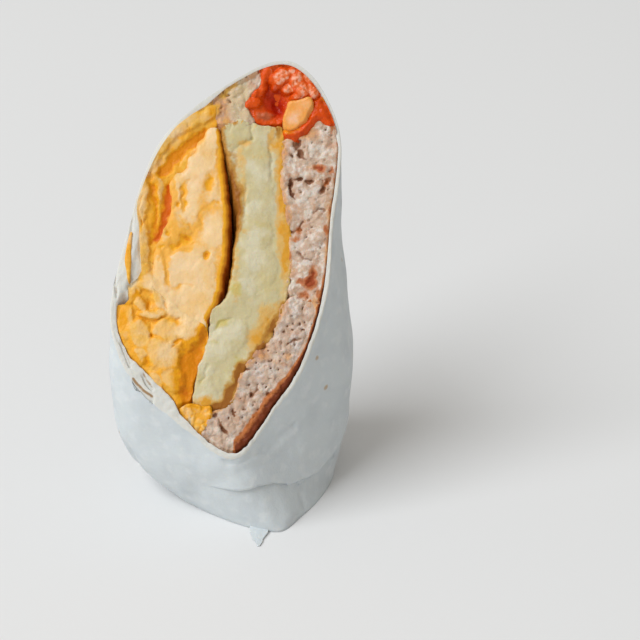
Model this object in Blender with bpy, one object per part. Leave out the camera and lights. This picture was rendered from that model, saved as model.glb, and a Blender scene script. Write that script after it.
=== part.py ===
"""One half of a chicken wrap, cut across on the slant and stood on its folded end.

The body is a soft sleeve of tortilla with a rounded, five-sided section.
Its foot is narrower than its belly, and its top is cut off by one slanting plane.
The fillings run up through it side by side, so each shows on the cut face.

Sections are drawn in millimetres: x is across, and the second number is how far
back a point lies from the front of the foot.
"""

import math

import bmesh
import bpy

MM = 0.001
OBJECT_NAME = "chicken_wrap_half"

# Driving dimensions, in millimetres and degrees
CENTRE_BACK = 27.6  # from the front of the foot to the middle of the whole depth
CENTRE_ACROSS = 0.35  # the middle of the whole width
CUT_SLOPE = 59.5  # the cut plane's rise from level
CUT_LOW_BACK = 3.0  # where the cut plane meets the front corner
CUT_LOW_HEIGHT = 25.9
BELLY_HEIGHT = 34.0  # the sleeve is widest here
SHOULDER_HEIGHT = 92.0  # above this the section no longer changes
HEEL_ROUNDING = 2.6  # how fast the foot swells into the belly
SLEEVE_THICKNESS = 1.7
END_THICKNESS = 5.0  # the folded end is several layers of tortilla
GAP = 0.3  # between pieces that touch
ABOVE_CUT = 150.0  # a height clear of the whole cut
STEPS_PER_ANCHOR = 4

# The sleeve's anchors, from the front round by the right:
# name, foot (x, back), belly (x, back), shoulder (x, back)
ANCHORS = (
    ("front", (14.0, -0.8), (1.4, 2.4), (1.0, 3.0)),
    ("front_right", (22.3, 7.8), (13.6, 9.8), (12.5, 10.2)),
    ("right_front", (28.8, 19.4), (24.6, 18.6), (24.0, 20.5)),
    ("right", (32.3, 33.0), (36.0, 35.0), (30.8, 38.0)),
    ("right_back", (28.0, 47.0), (34.0, 53.0), (32.6, 52.0)),
    ("back", (14.0, 54.5), (18.0, 61.2), (19.0, 61.7)),
    ("back_left", (-2.0, 54.0), (-1.0, 59.2), (-1.0, 58.2)),
    ("left_back", (-15.5, 48.0), (-21.0, 50.3), (-21.0, 48.6)),
    ("left", (-23.4, 34.0), (-35.2, 29.0), (-33.3, 29.0)),
    ("left_front", (-17.2, 20.0), (-32.0, 16.8), (-31.6, 16.6)),
    ("front_left", (-3.5, 8.0), (-17.0, 8.3), (-16.8, 8.4)),
)
ROUND = len(ANCHORS)

# Places where more layers of tortilla lie inside the sleeve, and the back, where it is
# stretched thin: anchors where it starts, peaks and ends, and the extra thickness
EXTRA_LAYERS = (
    (4.0, 5.6, 7.3, -0.5),
    (7.35, 8.1, 8.42, 5.3),
    (8.7, 9.75, 10.6, 2.9),
)

# The free edge of the outer layer, above the folded end: (anchor, height)
FLAP_EDGE = (
    (0.0, 13.2), (0.7, 13.6), (1.1, 10.6), (2.1, 8.6), (2.6, 11.5), (3.1, 17.0),
    (4.5, 16.0), (7.0, 14.0), (10.0, 11.5), (11.0, 13.2),
)
FLAP_STEP = 1.1  # the folded end is set back by this under the edge

# The seams between fillings, from the front of the cut face to its back: (x, back)
POTATO_LEFT = (
    (-11.7, 11.0), (-9.2, 15.7), (-6.0, 20.0), (-4.5, 24.0), (-0.7, 26.4),
    (1.7, 33.0), (2.7, 38.0), (1.4, 43.0), (-1.2, 48.5), (-2.6, 52.0),
)
POTATO_RIGHT = (
    (-1.8, 10.2), (1.9, 11.4), (3.6, 15.2), (9.8, 19.2), (14.6, 23.0), (17.0, 28.0),
    (18.4, 33.0), (17.0, 39.5), (15.5, 44.0), (16.1, 48.5), (15.3, 52.0),
)
EGG_SKIN = ((-3.6, 25.2), (-2.1, 27.6), (-0.4, 33.0), (0.2, 38.0), (-0.7, 43.5), (-2.2, 48.5), (-3.4, 51.7))
EGG_SLAB_LEFT = (
    (-22.0, 28.4), (-21.7, 32.5), (-18.9, 36.8), (-16.5, 40.5),
    (-16.6, 44.0), (-12.6, 47.2), (-5.4, 51.7),
)

# Dips in the cut face: (x, back, radius, depth square to the face)
DIPS = (
    (12.5, 56.0, 3.6, 4.5),  # the hollow in the salsa
    (-19.5, 38.5, 2.6, 3.6),  # inside the curled egg
    (-19.6, 43.5, 2.6, 3.2),
    (-12.5, 49.8, 2.4, 2.2),
    (-20.0, 28.0, 1.6, 1.6),
    (24.0, 27.8, 2.4, 1.2),  # the sauce between the two chicken pieces
    (-7.5, 19.0, 2.2, 1.2),
    (-9.0, 12.5, 2.2, 1.4),
)

COLOURS = {
    "tortilla": (0.80, 0.80, 0.77, 0.85),
    "egg": (0.86, 0.50, 0.16, 0.55),
    "potato": (0.62, 0.56, 0.32, 0.60),
    "chicken": (0.56, 0.42, 0.35, 0.60),
    "salsa": (0.62, 0.09, 0.02, 0.30),
    "pepper": (0.78, 0.32, 0.08, 0.35),
}


def clear_scene():
    for obj in list(bpy.data.objects):
        bpy.data.objects.remove(obj, do_unlink=True)


def new_collection(name):
    collection = bpy.data.collections.new(name)
    bpy.context.scene.collection.children.link(collection)
    return collection


def new_material(name):
    red, green, blue, roughness = COLOURS[name]
    material = bpy.data.materials.new(name)
    material.use_nodes = True
    shader = material.node_tree.nodes["Principled BSDF"]
    shader.inputs["Base Color"].default_value = (red, green, blue, 1.0)
    shader.inputs["Roughness"].default_value = roughness
    shader.inputs["Metallic"].default_value = 0.0
    return material


def smoothstep(value):
    value = min(max(value, 0.0), 1.0)
    return value * value * (3.0 - 2.0 * value)


def spline(before, start, end, after, share):
    """A point on the smooth curve between start and end."""
    return tuple(
        0.5
        * (
            2.0 * b
            + (c - a) * share
            + (2.0 * a - 5.0 * b + 4.0 * c - d) * share**2
            + (3.0 * b - a - 3.0 * c + d) * share**3
        )
        for a, b, c, d in zip(before, start, end, after)
    )


def seam(stations, low=0.0, high=99.0, shift=0.0, steps=2):
    """Points along a seam, front to back, between two distances back, moved sideways by shift."""
    points = []
    last = len(stations) - 1
    for index in range(last):
        before = stations[max(index - 1, 0)]
        after = stations[min(index + 2, last)]
        for step in range(steps):
            points.append(spline(before, stations[index], stations[index + 1], after, step / steps))
    points.append(stations[last])
    return [(x + shift, back) for x, back in points if low <= back <= high]


def anchors_at(height):
    """The sleeve's anchors at one height."""
    places = []
    for _, foot, belly, shoulder in ANCHORS:
        if height < BELLY_HEIGHT:
            share = 1.0 - (1.0 - height / BELLY_HEIGHT) ** HEEL_ROUNDING
            low, high = foot, belly
        else:
            share = smoothstep((height - BELLY_HEIGHT) / (SHOULDER_HEIGHT - BELLY_HEIGHT))
            low, high = belly, shoulder
        places.append(tuple(a + (b - a) * share for a, b in zip(low, high)))
    return places


def outline_point(around, height, inset=0.0):
    """A point of the sleeve at a place around it, in anchors, moved in by inset."""
    places = anchors_at(height)
    count = len(places)

    def on_curve(place):
        index = math.floor(place)
        near = [places[(index + offset) % count] for offset in (-1, 0, 1, 2)]
        return spline(*near, place - index)

    x, back = on_curve(around)
    if inset == 0.0:
        return x, back
    ahead_x, ahead_back = on_curve(around + 0.05)
    behind_x, behind_back = on_curve(around - 0.05)
    along_x, along_back = ahead_x - behind_x, ahead_back - behind_back
    length = math.hypot(along_x, along_back)
    return x - along_back / length * inset, back + along_x / length * inset


def cut_height(back):
    return CUT_LOW_HEIGHT + (back - CUT_LOW_BACK) * math.tan(math.radians(CUT_SLOPE))


def rim_height(around, inset):
    """The height at which an upright line on the sleeve meets the cut plane."""
    low, high = 5.0, ABOVE_CUT
    for _ in range(30):
        middle = (low + high) / 2.0
        if cut_height(outline_point(around, middle, inset)[1]) > middle:
            low = middle
        else:
            high = middle
    return low


def lining(around):
    """The thickness of tortilla between the outside and the fillings."""
    total = SLEEVE_THICKNESS
    for start, peak, end, extra in EXTRA_LAYERS:
        if start < around < end:
            rise = (around - start) / (peak - start)
            fall = (end - around) / (end - peak)
            total += extra * smoothstep(min(rise, fall))
    return total


def flap_height(around):
    for (start, low), (end, high) in zip(FLAP_EDGE, FLAP_EDGE[1:]):
        if start <= around <= end:
            return low + (high - low) * smoothstep((around - start) / (end - start))
    return FLAP_EDGE[0][1]


def flap_share(around):
    """How far the outer layer stands off the folded end. On the front left they are one."""
    return max(smoothstep((8.0 - around) / 1.5), smoothstep((around - 10.0) / 1.2))


def place(x, back, height):
    return ((x - CENTRE_ACROSS) * MM, (back - CENTRE_BACK) * MM, height * MM)


def add_object(name, mesh, collection, material=None):
    obj = bpy.data.objects.new(name, mesh)
    collection.objects.link(obj)
    if material:
        mesh.materials.append(material)
    return obj


def hide_cutter(obj):
    obj.hide_render = True
    obj.display_type = "WIRE"
    return obj


def mesh_of(builder, name):
    """A mesh from an edit-mesh, its faces turned outwards."""
    bmesh.ops.recalc_face_normals(builder, faces=builder.faces)
    mesh = bpy.data.meshes.new(name)
    builder.to_mesh(mesh)
    builder.free()
    return mesh


def bridge_rings(builder, lower, upper):
    """Triangles between two rings, split the same way on the inside as on the outside."""
    if sum(vert.co.z for vert in upper) < sum(vert.co.z for vert in lower):
        lower, upper = upper, lower
    count = len(lower)
    for index in range(count):
        following = (index + 1) % count
        builder.faces.new((lower[index], lower[following], upper[following]))
        builder.faces.new((lower[index], upper[following], upper[index]))


def loft(rings, name):
    """A closed solid skinned over rings of points, bottom to top, capped at both ends."""
    builder = bmesh.new()
    made = [[builder.verts.new(place(*point)) for point in ring] for ring in rings]
    for lower, upper in zip(made, made[1:]):
        bridge_rings(builder, lower, upper)
    builder.faces.new(made[0])
    builder.faces.new(made[-1])
    return mesh_of(builder, name)


def around_places():
    count = ROUND * STEPS_PER_ANCHOR
    return [index / STEPS_PER_ANCHOR for index in range(count)]


def sleeve_ring(share, inset_of, base):
    """A ring part of the way up from a base height to the cut."""
    ring = []
    for around in around_places():
        inset = inset_of(around)
        top = rim_height(around, inset)
        height = base + (top - base) * share
        ring.append((*outline_point(around, height, inset), height))
    return ring


def level_ring(height, inset_of):
    return [(*outline_point(around, height, inset_of(around)), height) for around in around_places()]


def flap_ring(rise, set_back):
    """A ring along the free edge of the outer layer."""
    ring = []
    for around in around_places():
        height = flap_height(around) + rise
        inset = set_back * flap_share(around)
        ring.append((*outline_point(around, height, inset), height))
    return ring


def end_inset(around):
    return FLAP_STEP * flap_share(around)


def inside_rings(inset_of, floor):
    """Rings up the inside of the sleeve, from the folded end to the cut."""
    rings = [level_ring(floor, inset_of), level_ring(floor + 2.5, inset_of)]
    return rings + [sleeve_ring(share, inset_of, 12.0) for share in (0.0, 0.28, 0.55, 0.8, 1.0)]


def make_sleeve_mesh():
    """The tortilla: outside, cut rim, inside and the thick folded end, as one closed skin."""
    rings = [level_ring(height, end_inset) for height in (0.0, 1.5, 4.0, 7.5)]
    rings.append(flap_ring(-0.6, FLAP_STEP))
    rings.append(flap_ring(0.5, 0.0))
    rings += [sleeve_ring(share, lambda around: 0.0, 17.0) for share in (0.1, 0.35, 0.6, 0.82, 1.0)]
    rings += inside_rings(lining, END_THICKNESS)[::-1]
    return loft(rings, "tortilla")


def band(start, end, outer, inner, low, name):
    """An upright curved slab that follows the sleeve, from a low height to above the cut."""
    steps = max(3, round((end - start) * 5))
    places = [start + (end - start) * index / steps for index in range(steps + 1)]
    rings = []
    for height in (low, 30.0, 50.0, 80.0, ABOVE_CUT):
        front = [(*outline_point(around, height, outer), height) for around in places]
        behind = [(*outline_point(around, height, inner), height) for around in reversed(places)]
        rings.append(front + behind)
    return loft(rings, name)


def make_torn_flake(collection):
    """A thin torn bit of the tortilla that lies flat in front of the foot."""
    length, width, thickness = 10.5, 9.5, 0.8
    tip_x, tip_back = 8.0, -7.0
    builder = bmesh.new()
    bmesh.ops.create_cone(builder, cap_ends=True, segments=9, radius1=0.5, radius2=0.42, depth=thickness)
    for vert in builder.verts:
        share = vert.co.y + 0.5
        ragged = 0.9 + 0.25 * math.sin(share * 19.0 + vert.co.x * 4.0)
        x = tip_x + vert.co.x * width * (0.55 + 0.6 * share) * ragged
        vert.co = place(x, tip_back + share * length, vert.co.z + thickness / 2.0)
    return hide_cutter(add_object("torn_flake", mesh_of(builder, "torn_flake"), collection))


def dip_at(x, back):
    """How far the cut face lies below its plane, straight down."""
    depth = 0.28 * math.sin(x * 0.55 + back * 0.21) * math.sin(back * 0.46 - x * 0.17) + 0.3
    for centre_x, centre_back, radius, drop in DIPS:
        stretch = math.cos(math.radians(CUT_SLOPE))
        away = math.hypot(x - centre_x, (back - centre_back) / stretch)
        depth += drop * math.exp(-((away / radius) ** 2))
    return depth / math.cos(math.radians(CUT_SLOPE))


def make_knife_block(collection):
    """Everything above the cut face. Its underside has the face's bumps and dips."""
    builder = bmesh.new()
    bmesh.ops.create_grid(builder, x_segments=34, y_segments=44, size=0.5)
    for vert in builder.verts:
        x, back = vert.co.x * 84.0, vert.co.y * 74.0 + 32.0
        vert.co = place(x, back, cut_height(back) - dip_at(x, back))
    raised = bmesh.ops.extrude_face_region(builder, geom=builder.faces[:])
    for item in raised["geom"]:
        if isinstance(item, bmesh.types.BMVert):
            item.co.z = (ABOVE_CUT + 40.0) * MM
    return hide_cutter(add_object("knife_block", mesh_of(builder, "knife_block"), collection))


def make_cavity(collection):
    """The space that the fillings may take, a gap clear of the tortilla."""
    rings = inside_rings(lambda around: lining(around) + GAP, END_THICKNESS + GAP)
    rings.append(level_ring(ABOVE_CUT, lambda around: lining(around) + GAP))
    return hide_cutter(add_object("cavity", loft(rings, "cavity"), collection))


def add_boolean(obj, operation, other):
    modifier = obj.modifiers.new(other.name, "BOOLEAN")
    modifier.operation = operation
    modifier.object = other


def upright_prism(section, name):
    low, high = END_THICKNESS, ABOVE_CUT
    return loft([[(x, back, height) for x, back in section] for height in (low, high)], name)


def add_filling(name, section, material, collection, cutters):
    """A filling with one section all the way up, trimmed to the cavity and the cut face."""
    obj = add_object(name, upright_prism(section, name), collection, material)
    add_boolean(obj, "INTERSECT", cutters["cavity"])
    add_boolean(obj, "DIFFERENCE", cutters["knife_block"])
    return obj


def filling_sections():
    """Each filling's section, as (x, back) points. Sides on the sleeve run past it."""
    left_edge, right_edge, back_edge = -45.0, 45.0, 72.0
    half_gap = 0.8 * GAP
    slab_floor = [(-14.0, 24.6), (-6.6, 22.4)]
    return {
        "egg_slab": (
            "egg",
            seam(EGG_SLAB_LEFT, shift=half_gap)
            + seam(EGG_SKIN, low=24.0)[::-1]
            + [(-4.9 - half_gap, 23.6)]
            + slab_floor[::-1],
        ),
        "egg_curl": (
            "egg",
            [(left_edge, 31.8)]
            + [(-22.3, 31.8)]
            + seam(EGG_SLAB_LEFT, low=32.6, shift=-half_gap)
            + [(-3.9, 52.4), (-3.9, back_edge), (left_edge, back_edge)],
        ),
        "egg_lumps": (
            "egg",
            [(left_edge, 31.4), (-22.3, 31.4), (-22.4, 28.0)]
            + [(x, back - 1.5 * GAP) for x, back in slab_floor]
            + seam(POTATO_LEFT, low=10.9, high=21.5, shift=-2 * half_gap)[::-1]
            + [(-15.3, 10.6), (-30.0, 4.0), (left_edge, 4.0)],
        ),
        "egg_crumbs": (
            "egg",
            [(-29.5, 3.4), (-15.2, 10.1), (-11.9, 10.5), (-5.2, 9.9), (-5.1, 9.2), (-7.2, 6.6), (-8.0, 1.0)]
            + [(-29.5, 1.0)],
        ),
        "potato": (
            "potato",
            seam(POTATO_LEFT, shift=half_gap) + seam(POTATO_RIGHT, shift=-half_gap)[::-1],
        ),
        "chicken_lower": (
            "chicken",
            [(-7.6, 1.0), (-6.8, 6.5), (-4.7, 9.2), (-1.6, 9.7)]
            + seam(POTATO_RIGHT, low=11.0, high=26.0, shift=half_gap)
            + [(19.6, 26.5), (22.5, 25.6), (right_edge, 25.2), (right_edge, -4.0), (0.0, -4.0)],
        ),
        "chicken_upper": (
            "chicken",
            seam(POTATO_RIGHT, low=27.0, high=50.0, shift=half_gap)
            + [(16.4, 50.2), (19.7, 49.3), (23.9, 51.0), (26.5, 52.8), (31.0, 51.0)]
            + [(right_edge, 51.0), (right_edge, 25.6), (22.6, 26.0), (19.7, 26.9)],
        ),
        "chicken_corner": (
            "chicken",
            [(-3.4, 52.5), (7.8, 52.5), (6.3, 53.4), (4.2, 55.2), (6.3, 56.9), (9.5, 58.4)]
            + [(9.5, back_edge), (-3.5, back_edge)],
        ),
        "salsa": (
            "salsa",
            [(8.4, 52.5), (15.3, 52.5), (15.7, 52.9), (17.9, 55.9), (24.2, 56.1), (27.9, 57.5)]
            + [(27.9, back_edge), (9.9, back_edge), (9.9, 58.0), (6.8, 56.4), (4.8, 55.2), (6.7, 53.7)],
        ),
        "pepper_dice": (
            "pepper",
            [(17.4, 51.4), (21.0, 52.3), (24.1, 54.7), (23.8, 55.7), (18.2, 55.5), (16.2, 52.8)],
        ),
        "pepper_strip": (
            "pepper",
            [(15.9, 50.7), (19.7, 49.8), (23.7, 51.4), (26.4, 53.3), (31.1, 51.4), (right_edge, 51.4)]
            + [(right_edge, back_edge), (28.3, back_edge), (28.3, 57.2), (24.6, 55.6), (24.5, 54.3)]
            + [(21.3, 51.9), (17.6, 51.0), (16.0, 51.5)],
        ),
    }


def make_tortilla(material, collection, cutters_collection):
    tortilla = add_object("tortilla", make_sleeve_mesh(), collection, material)
    slots = (
        ("egg_slot", 7.62, 8.2, 2.1, 3.5, 14.0),
        ("outer_slit", 8.95, 9.4, 1.9, 2.5, 22.0),
        ("inner_slit", 9.55, 9.9, 2.6, 3.3, 20.0),
    )
    for name, start, end, outer, inner, low in slots:
        mesh = band(start, end, outer, inner, low, name)
        add_boolean(tortilla, "DIFFERENCE", hide_cutter(add_object(name, mesh, cutters_collection)))
    add_boolean(tortilla, "UNION", make_torn_flake(cutters_collection))
    return tortilla


def main():
    clear_scene()
    parts = new_collection(OBJECT_NAME)
    cutters_collection = new_collection("cutters")
    materials = {name: new_material(name) for name in COLOURS}
    cutters = {
        "cavity": make_cavity(cutters_collection),
        "knife_block": make_knife_block(cutters_collection),
    }
    make_tortilla(materials["tortilla"], parts, cutters_collection)
    for name, (material, section) in filling_sections().items():
        add_filling(name, section, materials[material], parts, cutters)
    sliver = band(7.67, 8.15, 2.1 + GAP, 3.5 - GAP, 14.0 + GAP, "egg_edge")
    egg_edge = add_object("egg_edge", sliver, parts, materials["egg"])
    add_boolean(egg_edge, "DIFFERENCE", cutters["knife_block"])


main()
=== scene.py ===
# %% [markdown]
# # Half of a chicken wrap, stood on its folded end
# A wrap is a sheet of flour tortilla rolled round its fillings, folded shut at one end,
# and here cut across on the slant. The cut face is where the eye goes, so most of this
# lesson is about cut egg, potato, chicken and tomato. The CAD model gives the frame: its
# pieces say where each filling lies, and the modelled food stands in for them.

# %% Load the frame
import math

import bmesh
import bpy
import numpy as np
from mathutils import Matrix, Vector, noise


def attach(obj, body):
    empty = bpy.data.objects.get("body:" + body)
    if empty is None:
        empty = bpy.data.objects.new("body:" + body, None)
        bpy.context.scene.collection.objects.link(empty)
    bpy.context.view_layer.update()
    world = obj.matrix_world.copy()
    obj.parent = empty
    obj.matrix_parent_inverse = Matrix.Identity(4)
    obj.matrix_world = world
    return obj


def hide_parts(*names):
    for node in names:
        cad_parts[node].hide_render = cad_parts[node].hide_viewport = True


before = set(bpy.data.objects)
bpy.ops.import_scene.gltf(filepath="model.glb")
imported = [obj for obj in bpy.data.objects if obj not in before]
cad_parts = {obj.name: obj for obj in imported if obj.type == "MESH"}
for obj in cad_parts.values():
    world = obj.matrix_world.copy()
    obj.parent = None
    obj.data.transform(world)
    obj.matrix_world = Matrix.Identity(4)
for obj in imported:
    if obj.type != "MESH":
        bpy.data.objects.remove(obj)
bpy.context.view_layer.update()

MM = 0.001  # the CAD model is in metres, and sizes below are in millimetres

# %% [markdown]
# ## The shape that everything fits
# The sleeve has a rounded, five-sided section that changes as it rises: a narrow foot, a
# wide belly, and a straight shoulder above. Eleven anchors at three heights say all of it,
# and a smooth curve runs through them. They are the CAD model's own driving sizes.

# %% The sleeve's section
ANCHORS = np.array([  # foot, belly and shoulder as x, y, from the front round by the right
    [(14, -0.8), (1.4, 2.4), (1, 3)], [(22.3, 7.8), (13.6, 9.8), (12.5, 10.2)],
    [(28.8, 19.4), (24.6, 18.6), (24, 20.5)], [(32.3, 33), (36, 35), (30.8, 38)],
    [(28, 47), (34, 53), (32.6, 52)], [(14, 54.5), (18, 61.2), (19, 61.7)],
    [(-2, 54), (-1, 59.2), (-1, 58.2)], [(-15.5, 48), (-21, 50.3), (-21, 48.6)],
    [(-23.4, 34), (-35.2, 29), (-33.3, 29)], [(-17.2, 20), (-32, 16.8), (-31.6, 16.6)],
    [(-3.5, 8), (-17, 8.3), (-16.8, 8.4)],
])
CENTRE = np.array([0.35, 27.6])  # from the front of the foot to the frame's origin
BELLY_HEIGHT, SHOULDER_HEIGHT, HEEL_ROUNDING = 34.0, 92.0, 2.6
ROUND = len(ANCHORS)


def smooth(value):
    value = np.clip(value, 0, 1)
    return value * value * (3 - 2 * value)


def sleeve_xy(around, height, inset=0.0):
    """Points on the sleeve, at places round it (in anchors), at heights, moved in by inset."""
    around, height, inset = np.broadcast_arrays(around, height, inset)
    below = 1 - (1 - np.clip(height / BELLY_HEIGHT, 0, 1)) ** HEEL_ROUNDING
    above = smooth((height - BELLY_HEIGHT) / (SHOULDER_HEIGHT - BELLY_HEIGHT))
    index = np.floor(around).astype(int)
    t = (around - index)[..., None]
    corners = []
    for step in (-1, 0, 1, 2):
        foot, belly, shoulder = np.moveaxis(ANCHORS[(index + step) % ROUND], -2, 0)
        corners.append(foot + (belly - foot) * below[..., None] + (shoulder - belly) * above[..., None])
    a, b, c, d = corners
    square, cube = 2 * a - 5 * b + 4 * c - d, 3 * b - a - 3 * c + d
    slope = (c - a) + 2 * square * t + 3 * cube * t**2
    slope /= np.linalg.norm(slope, axis=-1, keepdims=True)
    inward = np.stack([-slope[..., 1], slope[..., 0]], axis=-1)
    return 0.5 * (2 * b + (c - a) * t + square * t**2 + cube * t**3) + inward * inset[..., None] - CENTRE


# %% [markdown]
# ## The cut
# One knife stroke made the face, so it is one plane. Places on the face are given as two
# numbers: across, and up the slope from its lowest corner. A third number is the height
# out of the plane, for food that stands proud of the stroke or has sunk below it.

# %% The cut face
CUT_SLOPE = math.radians(59.5)
CUT_CORNER = np.array([0.0, 3.0 - CENTRE[1], 25.9])
UP_SLOPE = np.array([0.0, math.cos(CUT_SLOPE), math.sin(CUT_SLOPE)])
OUT = np.array([0.0, -math.sin(CUT_SLOPE), math.cos(CUT_SLOPE)])
ACROSS = np.array([1.0, 0.0, 0.0])


def on_face(across, up, out):
    """Frame positions, in millimetres, of places given on the cut face."""
    offset = np.multiply.outer(across, ACROSS) + np.multiply.outer(up, UP_SLOPE)
    return CUT_CORNER + offset + np.multiply.outer(out, OUT)


RIM_RANGE, HALVINGS = (5.0, 150.0), 28  # every point of the rim lies between these heights


def rim_height(around, inset):
    """Where an upright line on the sleeve meets the cut, found by halving."""
    low, high = [np.full(np.shape(around), height) for height in RIM_RANGE]
    for _ in range(HALVINGS):
        middle = (low + high) / 2.0
        y = sleeve_xy(around, middle, inset)[..., 1]
        under = CUT_CORNER[2] + (y - CUT_CORNER[1]) * math.tan(CUT_SLOPE) > middle
        low, high = np.where(under, middle, low), np.where(under, high, middle)
    return low


# %% [markdown]
# ## Working by hand, in code
# Blender's operators act on what is selected, so each one is given a clean selection. A
# piece starts as a grid primitive. Its points are then pulled into shape, its unwanted
# faces deleted, and its rim extruded, as one would do with the mouse.

# %% Small tools
def select_only(obj):
    bpy.ops.object.select_all(action="DESELECT")
    obj.select_set(True)
    bpy.context.view_layer.objects.active = obj


def grid(name, across, along):
    """A grid primitive with this many squares each way, one metre wide."""
    bpy.ops.object.select_all(action="DESELECT")
    bpy.ops.mesh.primitive_grid_add(x_subdivisions=int(across), y_subdivisions=int(along), size=1.0)
    bpy.context.object.name = name
    return bpy.context.object


def points_of(obj):
    points = np.empty(len(obj.data.vertices) * 3, np.float32)
    obj.data.vertices.foreach_get("co", points)
    return points.reshape(-1, 3).astype(float)


def move_points(obj, points):
    obj.data.vertices.foreach_set("co", np.asarray(points, np.float32).ravel())
    obj.data.update()


def store(obj, name, values):
    """Keep one number per point on the piece, for its material to read."""
    attribute = obj.data.attributes.get(name) or obj.data.attributes.new(name, "FLOAT", "POINT")
    attribute.data.foreach_set("value", np.asarray(values, np.float32))


def edit(obj, kind="VERT"):
    """Open a piece in edit mode with nothing selected."""
    select_only(obj)
    bpy.ops.object.mode_set(mode="EDIT")
    bpy.ops.mesh.select_mode(type=kind)
    bpy.ops.mesh.select_all(action="DESELECT")


def pick(obj, kind, chosen):
    """In edit mode, select just the vertices or edges for which chosen says yes."""
    bpy.ops.mesh.select_all(action="DESELECT")
    mesh = bmesh.from_edit_mesh(obj.data)
    for item in getattr(mesh, kind):
        if chosen(item):
            item.select_set(True)
    mesh.select_flush_mode()
    bmesh.update_edit_mesh(obj.data)


def close_up(obj):
    """Turn every face outwards, leave edit mode and shade smooth."""
    bpy.ops.mesh.select_all(action="SELECT")
    bpy.ops.mesh.normals_make_consistent(inside=False)
    if bmesh.from_edit_mesh(obj.data).calc_volume(signed=True) < 0.0:  # a thin leaning piece can fool it
        bpy.ops.mesh.flip_normals()
    bpy.ops.object.mode_set(mode="OBJECT")
    bpy.ops.object.shade_smooth()


def report(obj):
    size = (points_of(obj).max(0) - points_of(obj).min(0)) / MM
    obj.data.calc_loop_triangles()
    print(f"{obj.name}: {len(obj.data.loop_triangles)} triangles, {np.round(size, 1)} mm")


# %% [markdown]
# ## Bumps and hollows
# Food is uneven at several sizes at once. Smooth noise gives swells. Cell noise, which
# measures how near the closest seed points are, gives crumbs, pores and the creases between
# lumps. Each is read at a real size in millimetres.

# %% Unevenness
def swell(across, up, size, seed, octaves=3, stretch=1.0):
    """Smooth noise, about -1 to 1. stretch draws it out up the slope."""
    places = zip(across / size, up / (size * stretch))
    return np.array([noise.fractal((x, y, seed * 7.3), 0.9, 2.1, octaves) for x, y in places])


def cells(across, up, size, seed, stretch=1.0, warp=0.25):
    """How far a place is from its nearest seed point, and how much further the next one is."""
    shift = warp * swell(across, up, size, seed + 31, 2), warp * swell(across, up, size, seed + 47, 2)
    places = zip(across / size + shift[0], up / (size * stretch) + shift[1])
    found = np.array([noise.voronoi((x, y, seed * 5.1))[0][:2] for x, y in places])
    return found[:, 0], found[:, 1] - found[:, 0]


def lumps(across, up, size, seed, stretch=1.0, crease=0.22):
    """Rounded lumps with creases between them, 0 in the creases and 1 on the tops."""
    near, gap = cells(across, up, size, seed, stretch)
    return np.clip(1 - (near / 0.85) ** 2, 0, 1) ** 0.7 * (0.35 + 0.65 * smooth(gap / crease))


def hollows(across, up, places):
    """Soft dents, each as across, up, half-width, half-length and depth."""
    total = np.zeros(len(across))
    for x, s, wide, tall, depth in places:
        total += depth * np.exp(-(((across - x) / wide) ** 2) - ((up - s) / tall) ** 2)
    return total


def route_distance(across, up, route):
    """How far each place is from a line drawn through points of the face."""
    best = np.full(len(across), 99.0)
    for (x1, s1), (x2, s2) in zip(route, route[1:]):
        dx, ds = x2 - x1, s2 - s1
        share = np.clip(((across - x1) * dx + (up - s1) * ds) / (dx * dx + ds * ds), 0, 1)
        best = np.minimum(best, np.hypot(across - x1 - share * dx, up - s1 - share * ds))
    return best


def groove(across, up, route, width):
    """1 along a line through points of the face, falling to 0 beside it."""
    return np.exp(-((route_distance(across, up, route) / width) ** 2))


def uneven(across, up, amount, seed, size=2.6):
    """The same places, each pushed a little aside, so that what is drawn there has ragged edges."""
    aside = swell(across, up, size, seed, 3), swell(across, up, size, seed + 50, 3)
    return across + amount * aside[0], up + amount * aside[1]


def petals(across, up, sheets, floor, crease=0.3):
    """Soft sheets lying over each other. The highest one shows, and creases form where they meet.

    Each sheet is across, up, half-length, half-width, lean to the right in degrees, height, and
    how much its right side stands above its left. Also returned: 1 in the middle of the sheet
    that shows, 0 at its rim, and 0 where none lies.
    """
    best, middle = np.full(len(across), floor), np.zeros(len(across))
    for x, s, long, wide, lean, height, tilt in sheets:
        sine, cosine = math.sin(math.radians(lean)), math.cos(math.radians(lean))
        side = ((across - x) * cosine - (up - s) * sine) / wide
        along = ((across - x) * sine + (up - s) * cosine) / long
        out = side**2 + along**2
        top = height + tilt * side - 0.5 * out - 1.6 * np.clip(out - 0.8, 0, None)
        share = np.clip(0.5 + 0.5 * (top - best) / crease, 0, 1)
        best = best + (top - best) * share + crease * share * (1 - share)
        middle = middle + (np.clip(1 - out, 0, 1) - middle) * share
    return best, middle


# %% [markdown]
# ## Reading a filling's outline from the CAD model
# Each CAD filling is an upright solid. A copy of it is sliced by a plane a little under the
# cut, and what is left is one closed line. Its points are moved straight up to the face,
# spread evenly and rounded, because food has no sharp corners.

# %% Outlines
OUTLINE_STEP = 0.9
SLICE_DEPTH = 7.0  # under the cut, below the deepest dent in the CAD model's face


def ordered_loop(mesh):
    """The points of a mesh's longest closed line, in order."""
    links = {vert.index: [] for vert in mesh.vertices}
    for line in mesh.edges:
        start, end = line.vertices
        links[start].append(end)
        links[end].append(start)
    loops, seen = [], set()
    for start in links:
        loop, current = [], None if start in seen else start
        while current is not None:
            seen.add(current)
            loop.append(current)
            current = next((other for other in links[current] if other not in seen), None)
        if loop:
            loops.append(np.array([mesh.vertices[index].co for index in loop]) / MM)
    return max(loops, key=lambda loop: np.linalg.norm(np.diff(loop, axis=0), axis=1).sum())


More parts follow.
